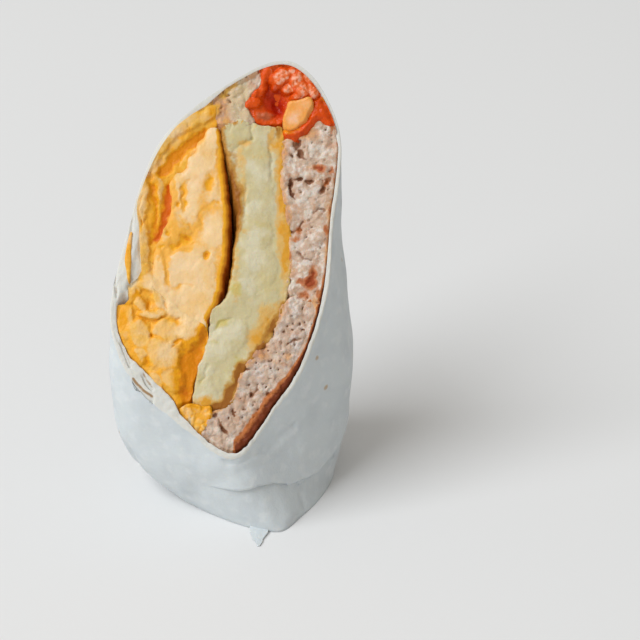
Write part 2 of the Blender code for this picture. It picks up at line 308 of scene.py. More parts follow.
def evenly(loop, step):
    """The closed line again, with a point every step."""
    closed = np.vstack([loop, loop[:1]])
    run = np.concatenate([[0.0], np.cumsum(np.linalg.norm(np.diff(closed, axis=0), axis=1))])
    places = np.linspace(0.0, run[-1], max(8, round(run[-1] / step)), endpoint=False)
    return np.column_stack([np.interp(places, run, closed[:, axis]) for axis in (0, 1)])


def rounded(loop, grow, grow_left, passes):
    """The closed line, anticlockwise, evenly spread, with its corners rounded, grown outwards."""
    loop = evenly(loop, OUTLINE_STEP)
    following = np.roll(loop, -1, axis=0)
    if np.sum(loop[:, 0] * following[:, 1] - following[:, 0] * loop[:, 1]) < 0:
        loop = loop[::-1]
    for _ in range(passes):
        loop = (np.roll(loop, 1, axis=0) + 2 * loop + np.roll(loop, -1, axis=0)) / 4
    outward = ways_out(loop)
    leftness = smooth(-2 * outward[:, 0] - 0.2)[:, None]
    return loop + outward * (grow + (grow_left - grow) * leftness)


def ways_out(loop):
    """The outward direction at each point of an anticlockwise closed line."""
    along = np.roll(loop, -1, axis=0) - np.roll(loop, 1, axis=0)
    along /= np.linalg.norm(along, axis=1, keepdims=True)
    return np.column_stack([along[:, 1], -along[:, 0]])


RAGGED_STEP, RAGGED = 0.5, 0.55  # a cut edge of food wanders by about half a millimetre
TOUCHING = 2.2  # a filling this near the tortilla is pressed against it
FACING = 0.25  # where its outline faces the tortilla by at least this much
ON_LINE = 0.02  # a place this near an outline takes the outline's own outward direction


def face_outline(node, grow, grow_left=None, passes=2, bulges=()):
    """A CAD filling's outline on the cut face, grown to press on its neighbours."""
    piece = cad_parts[node].copy()
    piece.data = piece.data.copy()
    bpy.context.scene.collection.objects.link(piece)
    edit(piece)
    bpy.ops.mesh.select_all(action="SELECT")
    bpy.ops.mesh.remove_doubles(threshold=1e-6)
    plane = (CUT_CORNER - OUT * SLICE_DEPTH) * MM
    bpy.ops.mesh.bisect(plane_co=plane, plane_no=OUT, clear_inner=True, clear_outer=True)
    bpy.ops.object.mode_set(mode="OBJECT")
    line = ordered_loop(piece.data)
    bpy.data.objects.remove(piece)
    up = (line[:, 1] - CUT_CORNER[1]) / math.cos(CUT_SLOPE)
    grow_left = grow if grow_left is None else grow_left
    loop = rounded(np.column_stack([line[:, 0], up]), grow, grow_left, passes)
    loop = evenly(loop, RAGGED_STEP)
    loop = np.column_stack(uneven(*loop.T, RAGGED, 60, 3.2))
    loop = loop + ways_out(loop) * hollows(*loop.T, bulges)[:, None]
    edge, toward = to_edge(*loop.T, CAVITY_LOOP)
    facing = np.sum(ways_out(loop) * toward, axis=1) > FACING
    return loop + toward * np.where((edge < TOUCHING * facing) | (edge < 0.0), edge, 0.0)[:, None]


def to_edge(across, up, loop):
    """How far inside the outline each place is, and the way to the nearest edge."""
    place = np.column_stack([across, up])
    best, toward = np.full(len(place), np.inf), np.zeros((len(place), 2))
    square_on = np.zeros((len(place), 2))
    inside = np.zeros(len(place), bool)
    for a, b in zip(loop, np.roll(loop, -1, axis=0)):
        side = b - a
        share = np.clip(((place - a) @ side) / (side @ side), 0, 1)
        offset = a + share[:, None] * side - place
        distance = np.hypot(offset[:, 0], offset[:, 1])
        nearer = distance < best
        best[nearer], toward[nearer] = distance[nearer], offset[nearer]
        square_on[nearer] = side[1], -side[0]
        if a[1] != b[1]:
            spans = (a[1] > up) != (b[1] > up)
            inside ^= spans & (across < a[0] + (up - a[1]) / side[1] * side[0])
    toward = np.where(inside, 1, -1)[:, None] * toward / np.maximum(best, 1e-9)[:, None]
    square_on /= np.maximum(np.linalg.norm(square_on, axis=1), 1e-9)[:, None]
    on_line = best < ON_LINE
    toward[on_line] = square_on[on_line]
    return np.where(inside, best, -best), toward


# %% [markdown]
# ## How thick the rim is
# The cut shows one layer of tortilla at the right and two or three pressed together at the
# left, so the inside of the rim isn't the outside made smaller. Its thickness is read off
# place by place round the sleeve, and the fillings are pressed against what it leaves free.

# %% The inside of the rim
RIM_THICKNESS = np.array([  # place round the sleeve in anchors, thickness in mm
    (0, 1.3), (0.4, 1.2), (0.8, 0.8), (1.4, 0.8), (2, 1.1), (4, 1.2), (4.6, 1), (5.2, 0.8), (6, 0.7),
    (6.3, 1.3), (6.7, 0.6), (7.4, 0.6), (7.45, 1.2), (7.5, 2.9), (7.6, 4.5), (7.7, 6.3), (7.75, 7.2),
    (7.8, 7.2), (7.9, 5.6), (8, 3.5), (8.1, 2.5), (8.2, 2.1), (8.6, 2.4), (9, 2.9), (9.35, 3.7),
    (9.6, 3.9), (9.95, 3.5), (10.1, 2.4), (10.4, 1.8), (10.7, 1.5), (11, 1.3),
])
TUCK = np.array([  # how far the cut edge of the sheet leans in, on the lower left
    (0, 0.5), (0.4, 0.4), (0.8, 0), (8.2, 0), (8.8, 0.6), (9.2, 0.7), (9.4, 0.55), (10, 0.8), (10.4, 0.9),
    (10.7, 0.65), (11, 0.5),
])
TUCK_HEIGHT = 14.0


def lining(around):
    """The thickness of tortilla between the outside and the fillings."""
    return np.interp(around, *RIM_THICKNESS.T)


def tucked(around):
    return np.interp(around, *TUCK.T)


def rim_loop(extra):
    """The inner edge of the rim on the cut face, moved in by a little extra."""
    around = np.linspace(0.0, ROUND, 480, endpoint=False)
    inset = lining(around) + extra
    y = sleeve_xy(around, rim_height(around, inset), inset)
    return np.column_stack([y[:, 0], (y[:, 1] - CUT_CORNER[1]) / math.cos(CUT_SLOPE)])


CAVITY_LOOP = rim_loop(-0.1)
print("rim, inner edge:", np.round(CAVITY_LOOP.min(0), 1), np.round(CAVITY_LOOP.max(0), 1))

# %% [markdown]
# ## A cut piece of food
# The face of each filling is a fine grid laid on the cut plane. What lies outside the
# outline is deleted, the ragged rim is pulled onto the outline, the face is raised and
# dented, its shoulder is rolled over, and then the rim is extruded straight down to make
# the sides that are seen in the gaps between fillings.

# %% Making a cut piece
GRID_STEP = 0.27
BEYOND = -0.35 * GRID_STEP  # points further outside the outline than this are deleted
SHALLOW, DEEP = (0.4, 0.8, 1.6, 3.0), (0.4, 0.8, 1.2, 2.0, 3.0, 4.0, 5.0)  # steps down the sides
CUT_EDGE = math.radians(65.0)  # an edge as sharp as this stays crisp
RIM_BAND = 1.0  # the points this near the rim are evened out after it is pulled in
LEANING = 0.2  # a wall that lies this much up the slope, rather than across, leans over the food
PAST_RIM = -0.4  # this far outside the rim that wall still counts
CLEAR_OF_WALL, FREE_TO_SINK = 0.25, -20.0  # the lowest heights in front of that wall, and elsewhere


def is_spur(vert):
    """A point that would leave a loose end or two rims touching at a corner."""
    return not vert.link_faces or sum(line.is_boundary for line in vert.link_edges) > 2


def cut_piece(name, loop, relief, drops=SHALLOW):
    """A filling's face and sides. relief gives heights, the width of the shoulder, and numbers to keep."""
    low, high = loop.min(0) - GRID_STEP, loop.max(0) + GRID_STEP
    obj = grid(name, *np.ceil((high - low) / GRID_STEP))
    flat = (points_of(obj)[:, :2] + 0.5) * (high - low) + low
    edge, _ = to_edge(*flat.T, loop)
    move_points(obj, np.column_stack([flat, np.zeros(len(flat))]) * MM)
    edit(obj)
    pick(obj, "verts", lambda vert: edge[vert.index] < BEYOND)
    bpy.ops.mesh.delete(type="VERT")
    for _ in range(3):
        pick(obj, "verts", is_spur)
        bpy.ops.mesh.delete(type="VERT")
    bpy.ops.object.mode_set(mode="OBJECT")

    even_rim(obj, loop)
    flat = points_of(obj)[:, :2] / MM
    edge, toward = to_edge(*flat.T, loop)
    edge = np.maximum(edge, 0)
    heights, roll, kept = relief(*flat.T, edge, toward)
    heights = heights - roll * (1 - np.sqrt(1 - (1 - np.clip(edge / roll, 0, 1)) ** 2))
    heights = np.maximum(heights, wall_behind(*flat.T))
    move_points(obj, on_face(*flat.T, heights) * MM)
    for key, values in kept.items():
        store(obj, key, values)
    edit(obj, "EDGE")
    pick(obj, "edges", lambda line: line.is_boundary)
    for drop in drops:
        bpy.ops.mesh.extrude_region_move(TRANSFORM_OT_translate={"value": (0.0, 0.0, -drop * MM)})
    bpy.ops.mesh.edge_face_add()
    close_up(obj)
    bpy.ops.object.shade_smooth_by_angle(angle=CUT_EDGE)
    report(obj)
    return obj


def wall_behind(across, up):
    """The lowest a place may sink. Up the slope, the upright tortilla wall leans over the food."""
    away, toward = to_edge(across, up, CAVITY_LOOP)
    upward = np.maximum(toward[:, 1], 0.01)
    lowest = CLEAR_OF_WALL - np.maximum(away, 0.0) / (math.tan(CUT_SLOPE) * upward)
    return np.where((upward > LEANING) & (away > PAST_RIM), lowest, FREE_TO_SINK)


def even_rim(obj, loop):
    """Pull the ragged rim onto the outline, and even out the points just inside it."""
    flat = points_of(obj)
    edge, toward = to_edge(*flat[:, :2].T / MM, loop)
    mesh = bmesh.new()
    mesh.from_mesh(obj.data)
    rim = np.array([vert.is_boundary for vert in mesh.verts])
    mesh.free()
    flat[rim, :2] += toward[rim] * edge[rim, None] * MM
    move_points(obj, flat)
    edit(obj)
    pick(obj, "verts", lambda vert: not rim[vert.index] and edge[vert.index] < RIM_BAND)
    bpy.ops.mesh.vertices_smooth(factor=0.5, repeat=4)
    bpy.ops.object.mode_set(mode="OBJECT")


# %% [markdown]
# ## Colours and surfaces
# Every food here is a Principled surface with a little light under the skin. Its colour is
# painted in layers: a base, then patches that show where a mask says so. A mask is either a
# number kept on the piece, such as how far a place is from the edge, or noise of a real size.

# %% Material tools
RAGGED_SIZE = 1.3  # the size, in mm, of the noise that makes the edges of patches ragged
WATER_IOR = 1.40  # food is mostly water, with some fat and sugar in it
BROKEN_MIRROR = 0.3  # a surface of broken fibres and grains mirrors little of the sky
LIGHT_DEPTH = 1.5 * MM  # how far light wanders under the surface of soft food


def linear(hex_colour):
    """An sRGB hex colour as the linear values that Blender works in."""
    channels = [int(hex_colour[i : i + 2], 16) / 255.0 for i in (1, 3, 5)]
    return tuple(c / 12.92 if c <= 0.04045 else ((c + 0.055) / 1.055) ** 2.4 for c in channels) + (1.0,)


def add(tree, kind, inputs, **settings):
    """One node with its settings, its values and its links."""
    made = tree.nodes.new(kind)
    for name, value in settings.items():
        setattr(made, name, value)
    for name, value in inputs.items():
        if isinstance(value, bpy.types.NodeSocket):
            tree.links.new(value, made.inputs[name])
        else:
            made.inputs[name].default_value = value
    return made


def mask(tree, source, low, high, ragged=0.0, seed=0.0, detail=3.0):
    """0 at low and 1 at high. A word names a number kept on the piece. A number is a noise size."""
    is_kept = isinstance(source, str)
    size = RAGGED_SIZE if is_kept else source
    place = add(tree, "ShaderNodeTexCoord", {}).outputs["Object"]
    moved = {"Vector": place, "Location": (seed, seed, seed)}
    shifted = add(tree, "ShaderNodeMapping", moved).outputs["Vector"]
    grain = {"Vector": shifted, "Scale": 1.0 / (size * MM), "Detail": detail}
    found = add(tree, "ShaderNodeTexNoise", grain).outputs["Fac"]
    if is_kept:
        kept = add(tree, "ShaderNodeAttribute", {}, attribute_name=source).outputs["Fac"]
        spread = add(tree, "ShaderNodeMath", {0: found, 1: 0.5}, operation="SUBTRACT").outputs[0]
        torn = {0: spread, 1: ragged, 2: kept}
        found = add(tree, "ShaderNodeMath", torn, operation="MULTIPLY_ADD").outputs[0]
    ranged = {"Value": found, "From Min": low, "From Max": high}
    return add(tree, "ShaderNodeMapRange", ranged, interpolation_type="SMOOTHSTEP").outputs["Result"]


def food(name, base, layers, grain, roughness, wet=None, under_skin=0.1, glow="#FF9060"):
    """A painted food surface.

    Each layer is a colour, a strength and what mask takes. Grain is sizes and heights in mm.
    wet is the roughness where it is wettest, and what mask takes. glow is the light under the skin.
    """
    material = bpy.data.materials.new(name)
    material.use_nodes = True
    tree = material.node_tree
    shader = tree.nodes["Principled BSDF"]
    colour = linear(base)
    for tint, strength, *where in layers:
        amount = add(tree, "ShaderNodeMath", {0: mask(tree, *where), 1: strength}, operation="MULTIPLY")
        colours = {"Fac": amount.outputs[0], "Color1": colour, "Color2": linear(tint)}
        colour = add(tree, "ShaderNodeMixRGB", colours).outputs["Color"]
    tree.links.new(colour, shader.inputs["Base Color"])
    shader.inputs["Roughness"].default_value = roughness
    if wet:
        shine, *where = wet
        ranged = {"Value": mask(tree, *where), "To Min": roughness, "To Max": shine}
        damp = add(tree, "ShaderNodeMapRange", ranged).outputs["Result"]
        tree.links.new(damp, shader.inputs["Roughness"])
    normal = add(tree, "ShaderNodeNewGeometry", {}).outputs["Normal"]
    for size, height in grain:
        bumps = mask(tree, size, 0.1, 0.9, detail=5.0)
        relief = {"Height": bumps, "Distance": height * MM, "Normal": normal}
        normal = add(tree, "ShaderNodeBump", relief).outputs["Normal"]
    tree.links.new(normal, shader.inputs["Normal"])
    shader.inputs["IOR"].default_value = WATER_IOR
    shader.inputs["Specular IOR Level"].default_value = BROKEN_MIRROR
    shader.inputs["Subsurface Weight"].default_value = under_skin
    shader.inputs["Subsurface Radius"].default_value = linear(glow)[:3]
    shader.inputs["Subsurface Scale"].default_value = LIGHT_DEPTH
    return material


def finish_piece(obj, material, slot, *nodes):
    """Give a piece its material and its body, and hide the CAD nodes it stands for."""
    obj.data.materials.clear()
    obj.data.materials.append(material)
    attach(obj, "root")
    if nodes:
        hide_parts(*nodes)


# %% [markdown]
# ## The egg: a folded omelette, cut
# Omelette is set egg, smooth and pale peach where the knife went through it, with small
# slots where folded layers didn't quite meet. Its skin, browned by the pan, is golden, and
# rolls over into the gap beside the potato, where it is painted dark brown: part pan crust,
# part painted shade in the gap. The slots are dents that also carry their own number, so
# that the material can show the yellower egg inside them.

# %% The folded slab
SLAB_SLOTS = (  # across, up, half-width, half-length, depth
    (-6.5, 79.2, 1.1, 2.2, 0.75), (-5.6, 81.6, 0.7, 1.4, 0.6), (-12.6, 63.6, 1.7, 1.3, 1.2),
    (-14.8, 61.8, 1.6, 0.9, 1), (-7, 59, 1.1, 1.3, 1.2), (-13.6, 77.4, 0.5, 2.4, 0.6),
    (-13, 73.4, 0.6, 1.6, 0.6), (-15.6, 73.2, 0.7, 0.7, 0.9), (-18.2, 65, 0.9, 1, 0.9),
    (-16.8, 61, 1.1, 0.8, 0.7), (-19.9, 61.2, 1.2, 0.8, 0.6), (-3.6, 74.2, 1.2, 0.8, 0.5),
    (-15, 70.3, 0.9, 0.8, 0.4), (-10.6, 61.9, 0.9, 0.4, 0.4), (-8.6, 69, 0.5, 2, 0.35),
)
SLAB_FOLDS = (
    ((-18.6, 60.4), (-18.6, 56), (-17.8, 50)), ((-15.6, 49.6), (-13, 50.4), (-11, 49.8)),
    ((-20, 39.6), (-17.5, 40.1), (-15, 40.3)), ((-4.6, 74.8), (-8, 71.5), (-9.8, 65.5)),
    ((-20.6, 57.6), (-19.4, 59.6), (-17.8, 60.6)), ((-16.9, 80.6), (-15.6, 78), (-15.9, 75)),
    ((-11.4, 60.6), (-14, 60.2), (-16.6, 59.6)), ((-14.4, 69.4), (-11.6, 67.2), (-10, 64.6)),
)
SLAB_YELLOW = (
    (-6.2, 80, 1.6, 3, 0.8), (-4.8, 73, 4, 2.4, 0.6), (-9.2, 67.6, 2, 3.4, 0.6),
    (-13, 65.4, 3.2, 2.2, 0.8), (-16, 61.8, 4.4, 1.8, 0.8), (-18.4, 55.4, 1.1, 5, 0.9),
    (-20.4, 60.4, 2, 1.8, 0.8), (-15.6, 74, 1.6, 2.2, 0.6), (-13.2, 76, 1, 4, 0.8),
    (-2.6, 52, 1.2, 8, 0.5), (-3.4, 88, 0.8, 7, 0.6), (-17.2, 68, 2.4, 4, 0.7),
    (-16.4, 77.6, 1.4, 2.6, 0.6), (-8, 76, 1.4, 5, 0.4), (-9.6, 92.6, 2.4, 1.4, 0.5),
)
SLAB_SHEETS = (  # across, up, half-length, half-width, lean, height, tilt
    (-14.6, 82, 5, 2.8, 35, 0.35, 0.3), (-16.4, 75.6, 5, 2.4, -4, 0.5, 0.3),
    (-15.8, 69, 4, 2.8, -18, 0.45, 0.3), (-19.6, 64.4, 3.6, 2, -28, 0.3, 0.3),
    (-13.2, 68, 4, 3, 12, 0.35, -0.2), (-20.9, 55, 5, 2.4, 2, 0.45, 0.3), (-15.6, 55, 6, 2.8, 4, 0.4, 0),
    (-9.6, 54, 8, 6, 10, 0.5, 0), (-10, 45, 6.5, 5.8, 35, 0.5, 0), (-5, 69, 9, 4.8, 3, 0.45, 0),
    (-8.4, 75, 9.5, 5.2, 8, 0.5, 0), (-8.8, 86.6, 7, 5, 24, 0.5, 0), (-4.8, 92.6, 4.5, 2.6, 4, 0.45, 0),
    (-17.4, 44.6, 4.6, 2.6, 12, 0.3, 0),
)
SKIN_WIDTH = 3.0
CRISP = 0.03  # a shoulder this narrow doesn't roll over at all
SLAB_FOOT = ((-24, 51.6), (-19.6, 47.6), (-16.6, 42.4), (-12, 40.6), (-8.4, 38.6))  # where curds begin


def near_foot(across, up):
    """1 on the line where slab and curds meet, 0 away from it. Both take one height on it."""
    return smooth(1.25 - route_distance(across, up, SLAB_FOOT) / 2.6)


def foot_height(across, up):
    return 0.15 + 0.35 * swell(across, up, 5, 8) + 0.12 * swell(across, up, 1.8, 14)


def slab_relief(across, up, edge, toward):
    right = smooth(toward[:, 0] * 2 - 0.4)
    torn = smooth(-toward[:, 0] * 1.5 + 0.2 * toward[:, 1])
    x, s = uneven(across, up, 0.8, 71)
    folds = sum(groove(x, s, route, 0.5) for route in SLAB_FOLDS)
    slots = hollows(x, s, SLAB_SLOTS)
    soft = 0.35 * swell(across, up, 12, 1) + 0.12 * swell(across, up, 3, 2)
    sheets, middle = petals(x, s, SLAB_SHEETS, -0.35, 0.45)
    rim = smooth(1 - edge / 1.3) * torn
    heights = 0.42 * sheets + soft - 0.7 * slots - 0.14 * folds - 0.2 * rim - 0.1
    joined = near_foot(across, up)
    heights += (foot_height(across, up) - 0.2 * folds - heights) * joined
    shallow = smooth((up - 82) / 8)  # towards its tip the slab is thin, and so is its skin
    skin = smooth(1 - edge / (SKIN_WIDTH * (1 - 0.4 * shallow))) * right
    yellow = 0.3 * (1 - smooth(middle * 2.4)) + 0.35 * folds + 0.4 * rim + hollows(x, s, SLAB_YELLOW)
    kept = {
        "slot": np.clip(slots, 0, 1.2),
        # skin: golden pan crust, darkest where it rolls into the gap, partly painted shade there
        "skin": skin * (1 - 0.25 * shallow),
        "yellow": yellow * (1 - 0.8 * joined),
    }
    return heights, CRISP + (SKIN_WIDTH - 0.75) * right * (1 - 0.5 * shallow) * (1 - joined), kept


SLAB_BULGES = (  # across, up, half-width, half-length, how far the outline moves out
    (-8.8, 94.4, 1.6, 1.6, -0.9), (-1.6, 72, 1.5, 12, -0.2), (-18.4, 80, 1.4, 1.6, 0.4),
    (-15.4, 86.4, 2.2, 3.2, -2.9), (-12.2, 90.2, 2, 2, -1.7), (-18.6, 72, 1.6, 5, -1),
    (-21, 63.6, 1.2, 2, -0.6),
)
slab_outline = face_outline("egg_slab", 0.6, bulges=SLAB_BULGES)
cut_omelette = cut_piece("cut_omelette", slab_outline, slab_relief, DEEP)

# %% [markdown]
# ## The curled edge and the curds below it
# Left of the slab the omelette curls back on itself in thin sheets that lie over each other,
# and below it the egg is broken into soft curds, one of them curled into a ring. Each sheet
# is a soft oval, and the highest one shows. In the folds between them the egg's shade is
# painted in, as deeper orange and red. Both pieces read the same bumps, so no step shows
# where they meet.

# %% Sheets, folds and pits of the softer egg
EGG_SHEETS = (
    (-26.2, 74, 9, 2.3, 6, 0.6, -0.3), (-25.2, 60, 9, 2, 0, 0.45, -0.3),
    (-21.2, 80, 6, 1.7, -6, -0.1, -0.3), (-23.4, 87, 5.5, 2.4, 26, 0.55, -0.2),
    (-19.4, 92.6, 5, 2.6, 46, 0.7, -0.3), (-13, 97.4, 5.6, 2.2, 62, 0.6, -0.2),
    (-6.8, 100, 4, 2.2, 60, 0.3, 0), (-29, 47.6, 3.8, 2, 40, 0.2, 0.4),
    (-20.9, 46.2, 4.4, 1.7, -22, 0.5, -0.3), (-24.4, 49.8, 3.6, 1.5, 96, 0.5, 0.2),
    (-26.6, 44.6, 3.8, 1.4, -28, 0.25, 0.3), (-22.6, 41.4, 4.2, 1.5, 86, 0.55, 0.1),
    (-30.4, 39.6, 5.6, 2.2, 4, 0.1, 0.3), (-26.2, 35.4, 5, 3.6, -38, 0.65, 0),
    (-18.6, 37, 4.6, 3.2, 78, 0.5, 0.2), (-12.6, 36, 6, 4, 58, 0.8, 0.2),
    (-20, 29.8, 6, 4.6, -42, 0.9, 0), (-16.8, 22.8, 4.6, 3.4, -36, 0.5, 0),
    (-25.4, 29.4, 3.8, 2, -38, 0.35, 0), (-12.4, 24.6, 6, 3, -4, -0.3, 0),
    (-21.4, 22.4, 3, 1.8, -40, 0.3, 0), (-16.6, 44.8, 4.2, 2.8, 8, 0.4, 0),
)
# pale patches; those on the outer curl, across -27 to -24, are painted light where the sheet's slope turns
# from the lamp
EGG_PALE = (
    (-18.6, 30, 4, 4.6, 1), (-12.6, 36.4, 5, 3.6, 1), (-26, 35.6, 2.6, 2.6, 0.5),
    (-22.6, 41, 3, 1.2, 0.9), (-24, 49.6, 3, 1, 0.5), (-16.4, 45, 3, 3, 1), (-17.6, 94.4, 3.4, 1.4, 0.7),
    (-26.8, 75, 1.2, 5, 0.7), (-22.2, 89, 1.4, 3.4, 0.6), (-12.6, 98.2, 2.6, 1.2, 0.6),
    (-14.4, 95.6, 3, 1.6, 0.6), (-25.2, 74, 1.5, 7, 0.6), (-24.6, 64, 1.2, 4, 0.5),
)
RECESS = ((-8, 94.2), (-12, 91), (-16, 87.6), (-19.4, 83.4))  # beside the slab's upper edge
RED_FOLD = ((-17.8, 79), (-18.2, 75), (-18.7, 70), (-20, 66), (-21.4, 63.4))
OUTER_FOLD = ((-22.9, 79), (-22, 75), (-21.7, 71), (-21.9, 66), (-22.6, 62.4))
SMALL_FOLDS = (
    ((-27.6, 48.2), (-26, 45.4), (-24.6, 43.2), (-22.8, 42.6)), ((-20.2, 48), (-18.7, 45.4), (-18.2, 43)),
    ((-21, 39.8), (-18, 39.8), (-15, 40.5)), ((-27.4, 40), (-24.6, 39.4), (-21.6, 39.2)),
    ((-16.6, 31.6), (-14.6, 33.4), (-13.6, 31.8)), ((-26, 69), (-26.6, 72.6), (-26, 76)),
)
THIN_EGG = ((-28.4, 51.6, 2.4, 2.2, 1.2), (-30.6, 49.4, 1.6, 1.6, 0.9))  # smeared over the dough
RED_SPOTS = ((-13, 18.4, 1.6, 2.4, 0.6), (-9, 31, 1.2, 3, 0.5))
EGG_PITS = (
    (-22.9, 35.2, 0.5, 0.9, 1.2), (-15.6, 33.4, 0.8, 0.6, 0.7), (-21.2, 49, 0.8, 0.8, 1.6),
    (-24.2, 44.8, 0.9, 1.4, 0.7), (-24.6, 27.3, 1, 1.3, 0.6), (-25.8, 68, 0.3, 1.4, 0.5),
)
ORANGE_PATCHES = (
    (-12.4, 22.4, 3.4, 8, 1.4), (-7.8, 35.6, 1.8, 3.4, 1.3), (-10.2, 28, 2.8, 5, 1.3),
    (-31.2, 40, 1.4, 3.6, 0.7), (-24.6, 26.8, 1.6, 2.2, 0.4), (-12.4, 17, 2.4, 2.6, 0.9),
    (-24.4, 55.6, 1, 4, 0.3), (-30, 45, 1.6, 2, 0.4), (-27.6, 46.6, 1.2, 1.4, 0.5),
    (-5, 100.6, 2, 2.2, 0.5), (-22, 82, 1.6, 3, 0.3),
)


def scramble_relief(across, up, edge, toward):
    x, s = uneven(across, up, 0.8, 72)
    recess = smooth(1.5 - route_distance(x, s, RECESS) / 1.8)
    outer, red = groove(x, s, OUTER_FOLD, 1), groove(x, s, RED_FOLD, 1.6)
    gold = 0.3 * groove(x, s, OUTER_FOLD, 2.8)
    small = sum(groove(x, s, route, 0.5) for route in SMALL_FOLDS)
    pits, orange = hollows(x, s, EGG_PITS), hollows(x, s, ORANGE_PATCHES)
    sheets, middle = petals(x, s, EGG_SHEETS, -0.9, 0.45)
    low = np.maximum.reduce([recess, 0.75 * outer, 0.9 * red])
    soft = 0.25 * swell(across, up, 7, 6) + 0.14 * swell(across, up, 2.4, 7)
    heights = 0.8 * sheets * (1 - 0.8 * low) + soft - 1.2 * low - 0.3 * small - pits - 0.5 * orange
    # painted shade of the recess, folds and pits, as deeper orange; the listed orange patches are painted
    # with it
    shade_depth = 1.2 * recess + np.maximum.reduce([outer, gold, red]) + 0.3 * small + 0.8 * pits + orange
    joined = near_foot(across, up)
    curd = np.maximum(smooth(1.6 * middle), joined) * (1 - 0.9 * recess)
    heights += (foot_height(across, up) - 0.5 * small - pits - heights) * joined
    kept = {
        "shade_depth": np.clip(shade_depth, 0, 1.2),
        # red: painted shade down the red fold, the outer fold and the pits, with the listed red spots
        "red": np.maximum(red, 0.4 * outer) + 0.5 * pits + hollows(x, s, RED_SPOTS),
        "curd": curd * (1 - 0.6 * np.clip(orange, 0, 1)) * (1 - 0.5 * smooth((-28 - across) / 3)),
        "pale": hollows(x, s, EGG_PALE) + 0.6 * joined,
        "thin": hollows(x, s, THIN_EGG),
    }
    return heights, CRISP, kept


CURL_BULGES = (
    (-15.4, 86.4, 2.4, 3.4, 2.7), (-12.2, 90.2, 2, 2, 1.6), (-18.6, 72, 1.6, 5, 0.8),
    (-21, 63.6, 1.2, 2, 0.5),
)
curl_outline = face_outline("egg_curl", 0.6, bulges=CURL_BULGES)
curled_omelette = cut_piece("curled_omelette", curl_outline, scramble_relief)
soft_curds = cut_piece("soft_curds", face_outline("egg_lumps", 0.5), scramble_relief)
for lower, sink in ((soft_curds, 0.04), (cut_omelette, 0.08)):  # just under, where two pieces overlap
    move_points(lower, points_of(lower) - OUT * sink * MM)


# %% The crumbs and the thin edge of egg between two layers of tortilla
def crumbs_relief(across, up, edge, toward):
    curds = lumps(*uneven(across, up, 0.9, 74), 1.9, 11, 1, 0.5)
    heights = 0.5 * curds + 0.4 * swell(across, up, 4, 12) + 0.15 * swell(across, up, 1.4, 42) - 0.5
    orange = smooth((toward[:, 0] + toward[:, 1]) * 1.2) * smooth(1 - edge / 2)
    dull = 0.3 + 0.9 * swell(across, up, 2.6, 43)
    # painted shade between the curds, and deeper orange along the edge that faces up and right
    shade_depth = 0.55 * orange + 0.2 * (1 - curds)
    return heights, 0.5, {"shade_depth": shade_depth, "curd": 0.9 * curds, "thin": dull * (1 - orange)}


def sliver_relief(across, up, edge, toward):
    curds = lumps(across, up, 2.2, 13, 2.5)
    # painted shade between the lumps of the sliver
    return 0.25 * curds - 0.05, 0.3, {"shade_depth": 0.35 * (1 - curds), "curd": 0.4 * curds}


def ribbon(line, half_widths):
    """The outline of a strip along a line on the face, with its own width at each point."""
    line = np.array(line)
    along = np.gradient(line, axis=0)
    along /= np.linalg.norm(along, axis=1, keepdims=True)
    side = np.column_stack([-along[:, 1], along[:, 0]]) * np.array(half_widths)[:, None]
    return rounded(np.vstack([line + side, (line - side)[::-1]]), 0.1, 0.1, 1)


SLIVER_LINE = ((-28.8, 66), (-29.3, 63), (-29.7, 60), (-29.9, 57), (-29.7, 54), (-29.6, 51))
SLIVER_HALF_WIDTHS = (0.2, 0.45, 0.7, 0.95, 0.5, 0.3)
CRUMBS_BULGES = ((-14.6, 12.6, 2, 2.6, 1.4), (-8, 6, 2, 2, 1.2))
crumbs_outline = face_outline("egg_crumbs", 0.6, bulges=CRUMBS_BULGES)
small_curds = cut_piece("small_curds", crumbs_outline, crumbs_relief)
egg_sliver = cut_piece("egg_sliver", ribbon(SLIVER_LINE, SLIVER_HALF_WIDTHS), sliver_relief)

# %% [markdown]
# ## Potato
# The potato is a soft mash pressed flat and fried: pale and pasty inside, with a greener,
# glassier patch or two, tan crust where it met the pan on the left, and golden crust soaked
# with fat on the right.

# %% The potato
POTATO_SHEETS = (
    (3.4, 95.2, 3.6, 3.4, 0, 0.5, 0), (10, 95, 4, 3.6, 0, 0.4, 0), (7.2, 84, 7, 5.2, 0, 0.75, 0),
    (9, 74.6, 6, 4.6, 0, 0.5, 0), (4.6, 76, 6, 2.6, 0, 0.35, 0), (7.6, 65.4, 6.5, 5, 4, 0.6, 0),
    (5, 55.6, 6, 4.6, 8, 0.5, 0), (10, 54.6, 6, 4, 10, 0.5, 0), (2.6, 45.4, 6, 5, 28, 0.6, 0),
    (9.6, 43.4, 7, 3.4, 32, 0.45, 0), (0, 34, 7, 4.4, 34, 0.65, 0), (-5.4, 26.4, 6.5, 4.2, 28, 0.6, 0),
    (-0.6, 24, 5, 3.2, 30, 0.4, 0), (-7.4, 18, 4, 4, 10, 0.4, 0),
)
POTATO_CREASES = (
    ((1.2, 89.4), (3.4, 90.8), (6.6, 93)), ((-5.2, 36.2), (-2.6, 38.8), (0.4, 40.2)),
    ((5.2, 79.6), (4.2, 74.6), (4.4, 69)), ((7, 97.8), (6.4, 95.4), (6.8, 92.8)),
    ((-8.8, 21), (-7.4, 23.4), (-6.6, 26)), ((11.6, 90.6), (12.4, 87), (12.2, 82.4)),
)
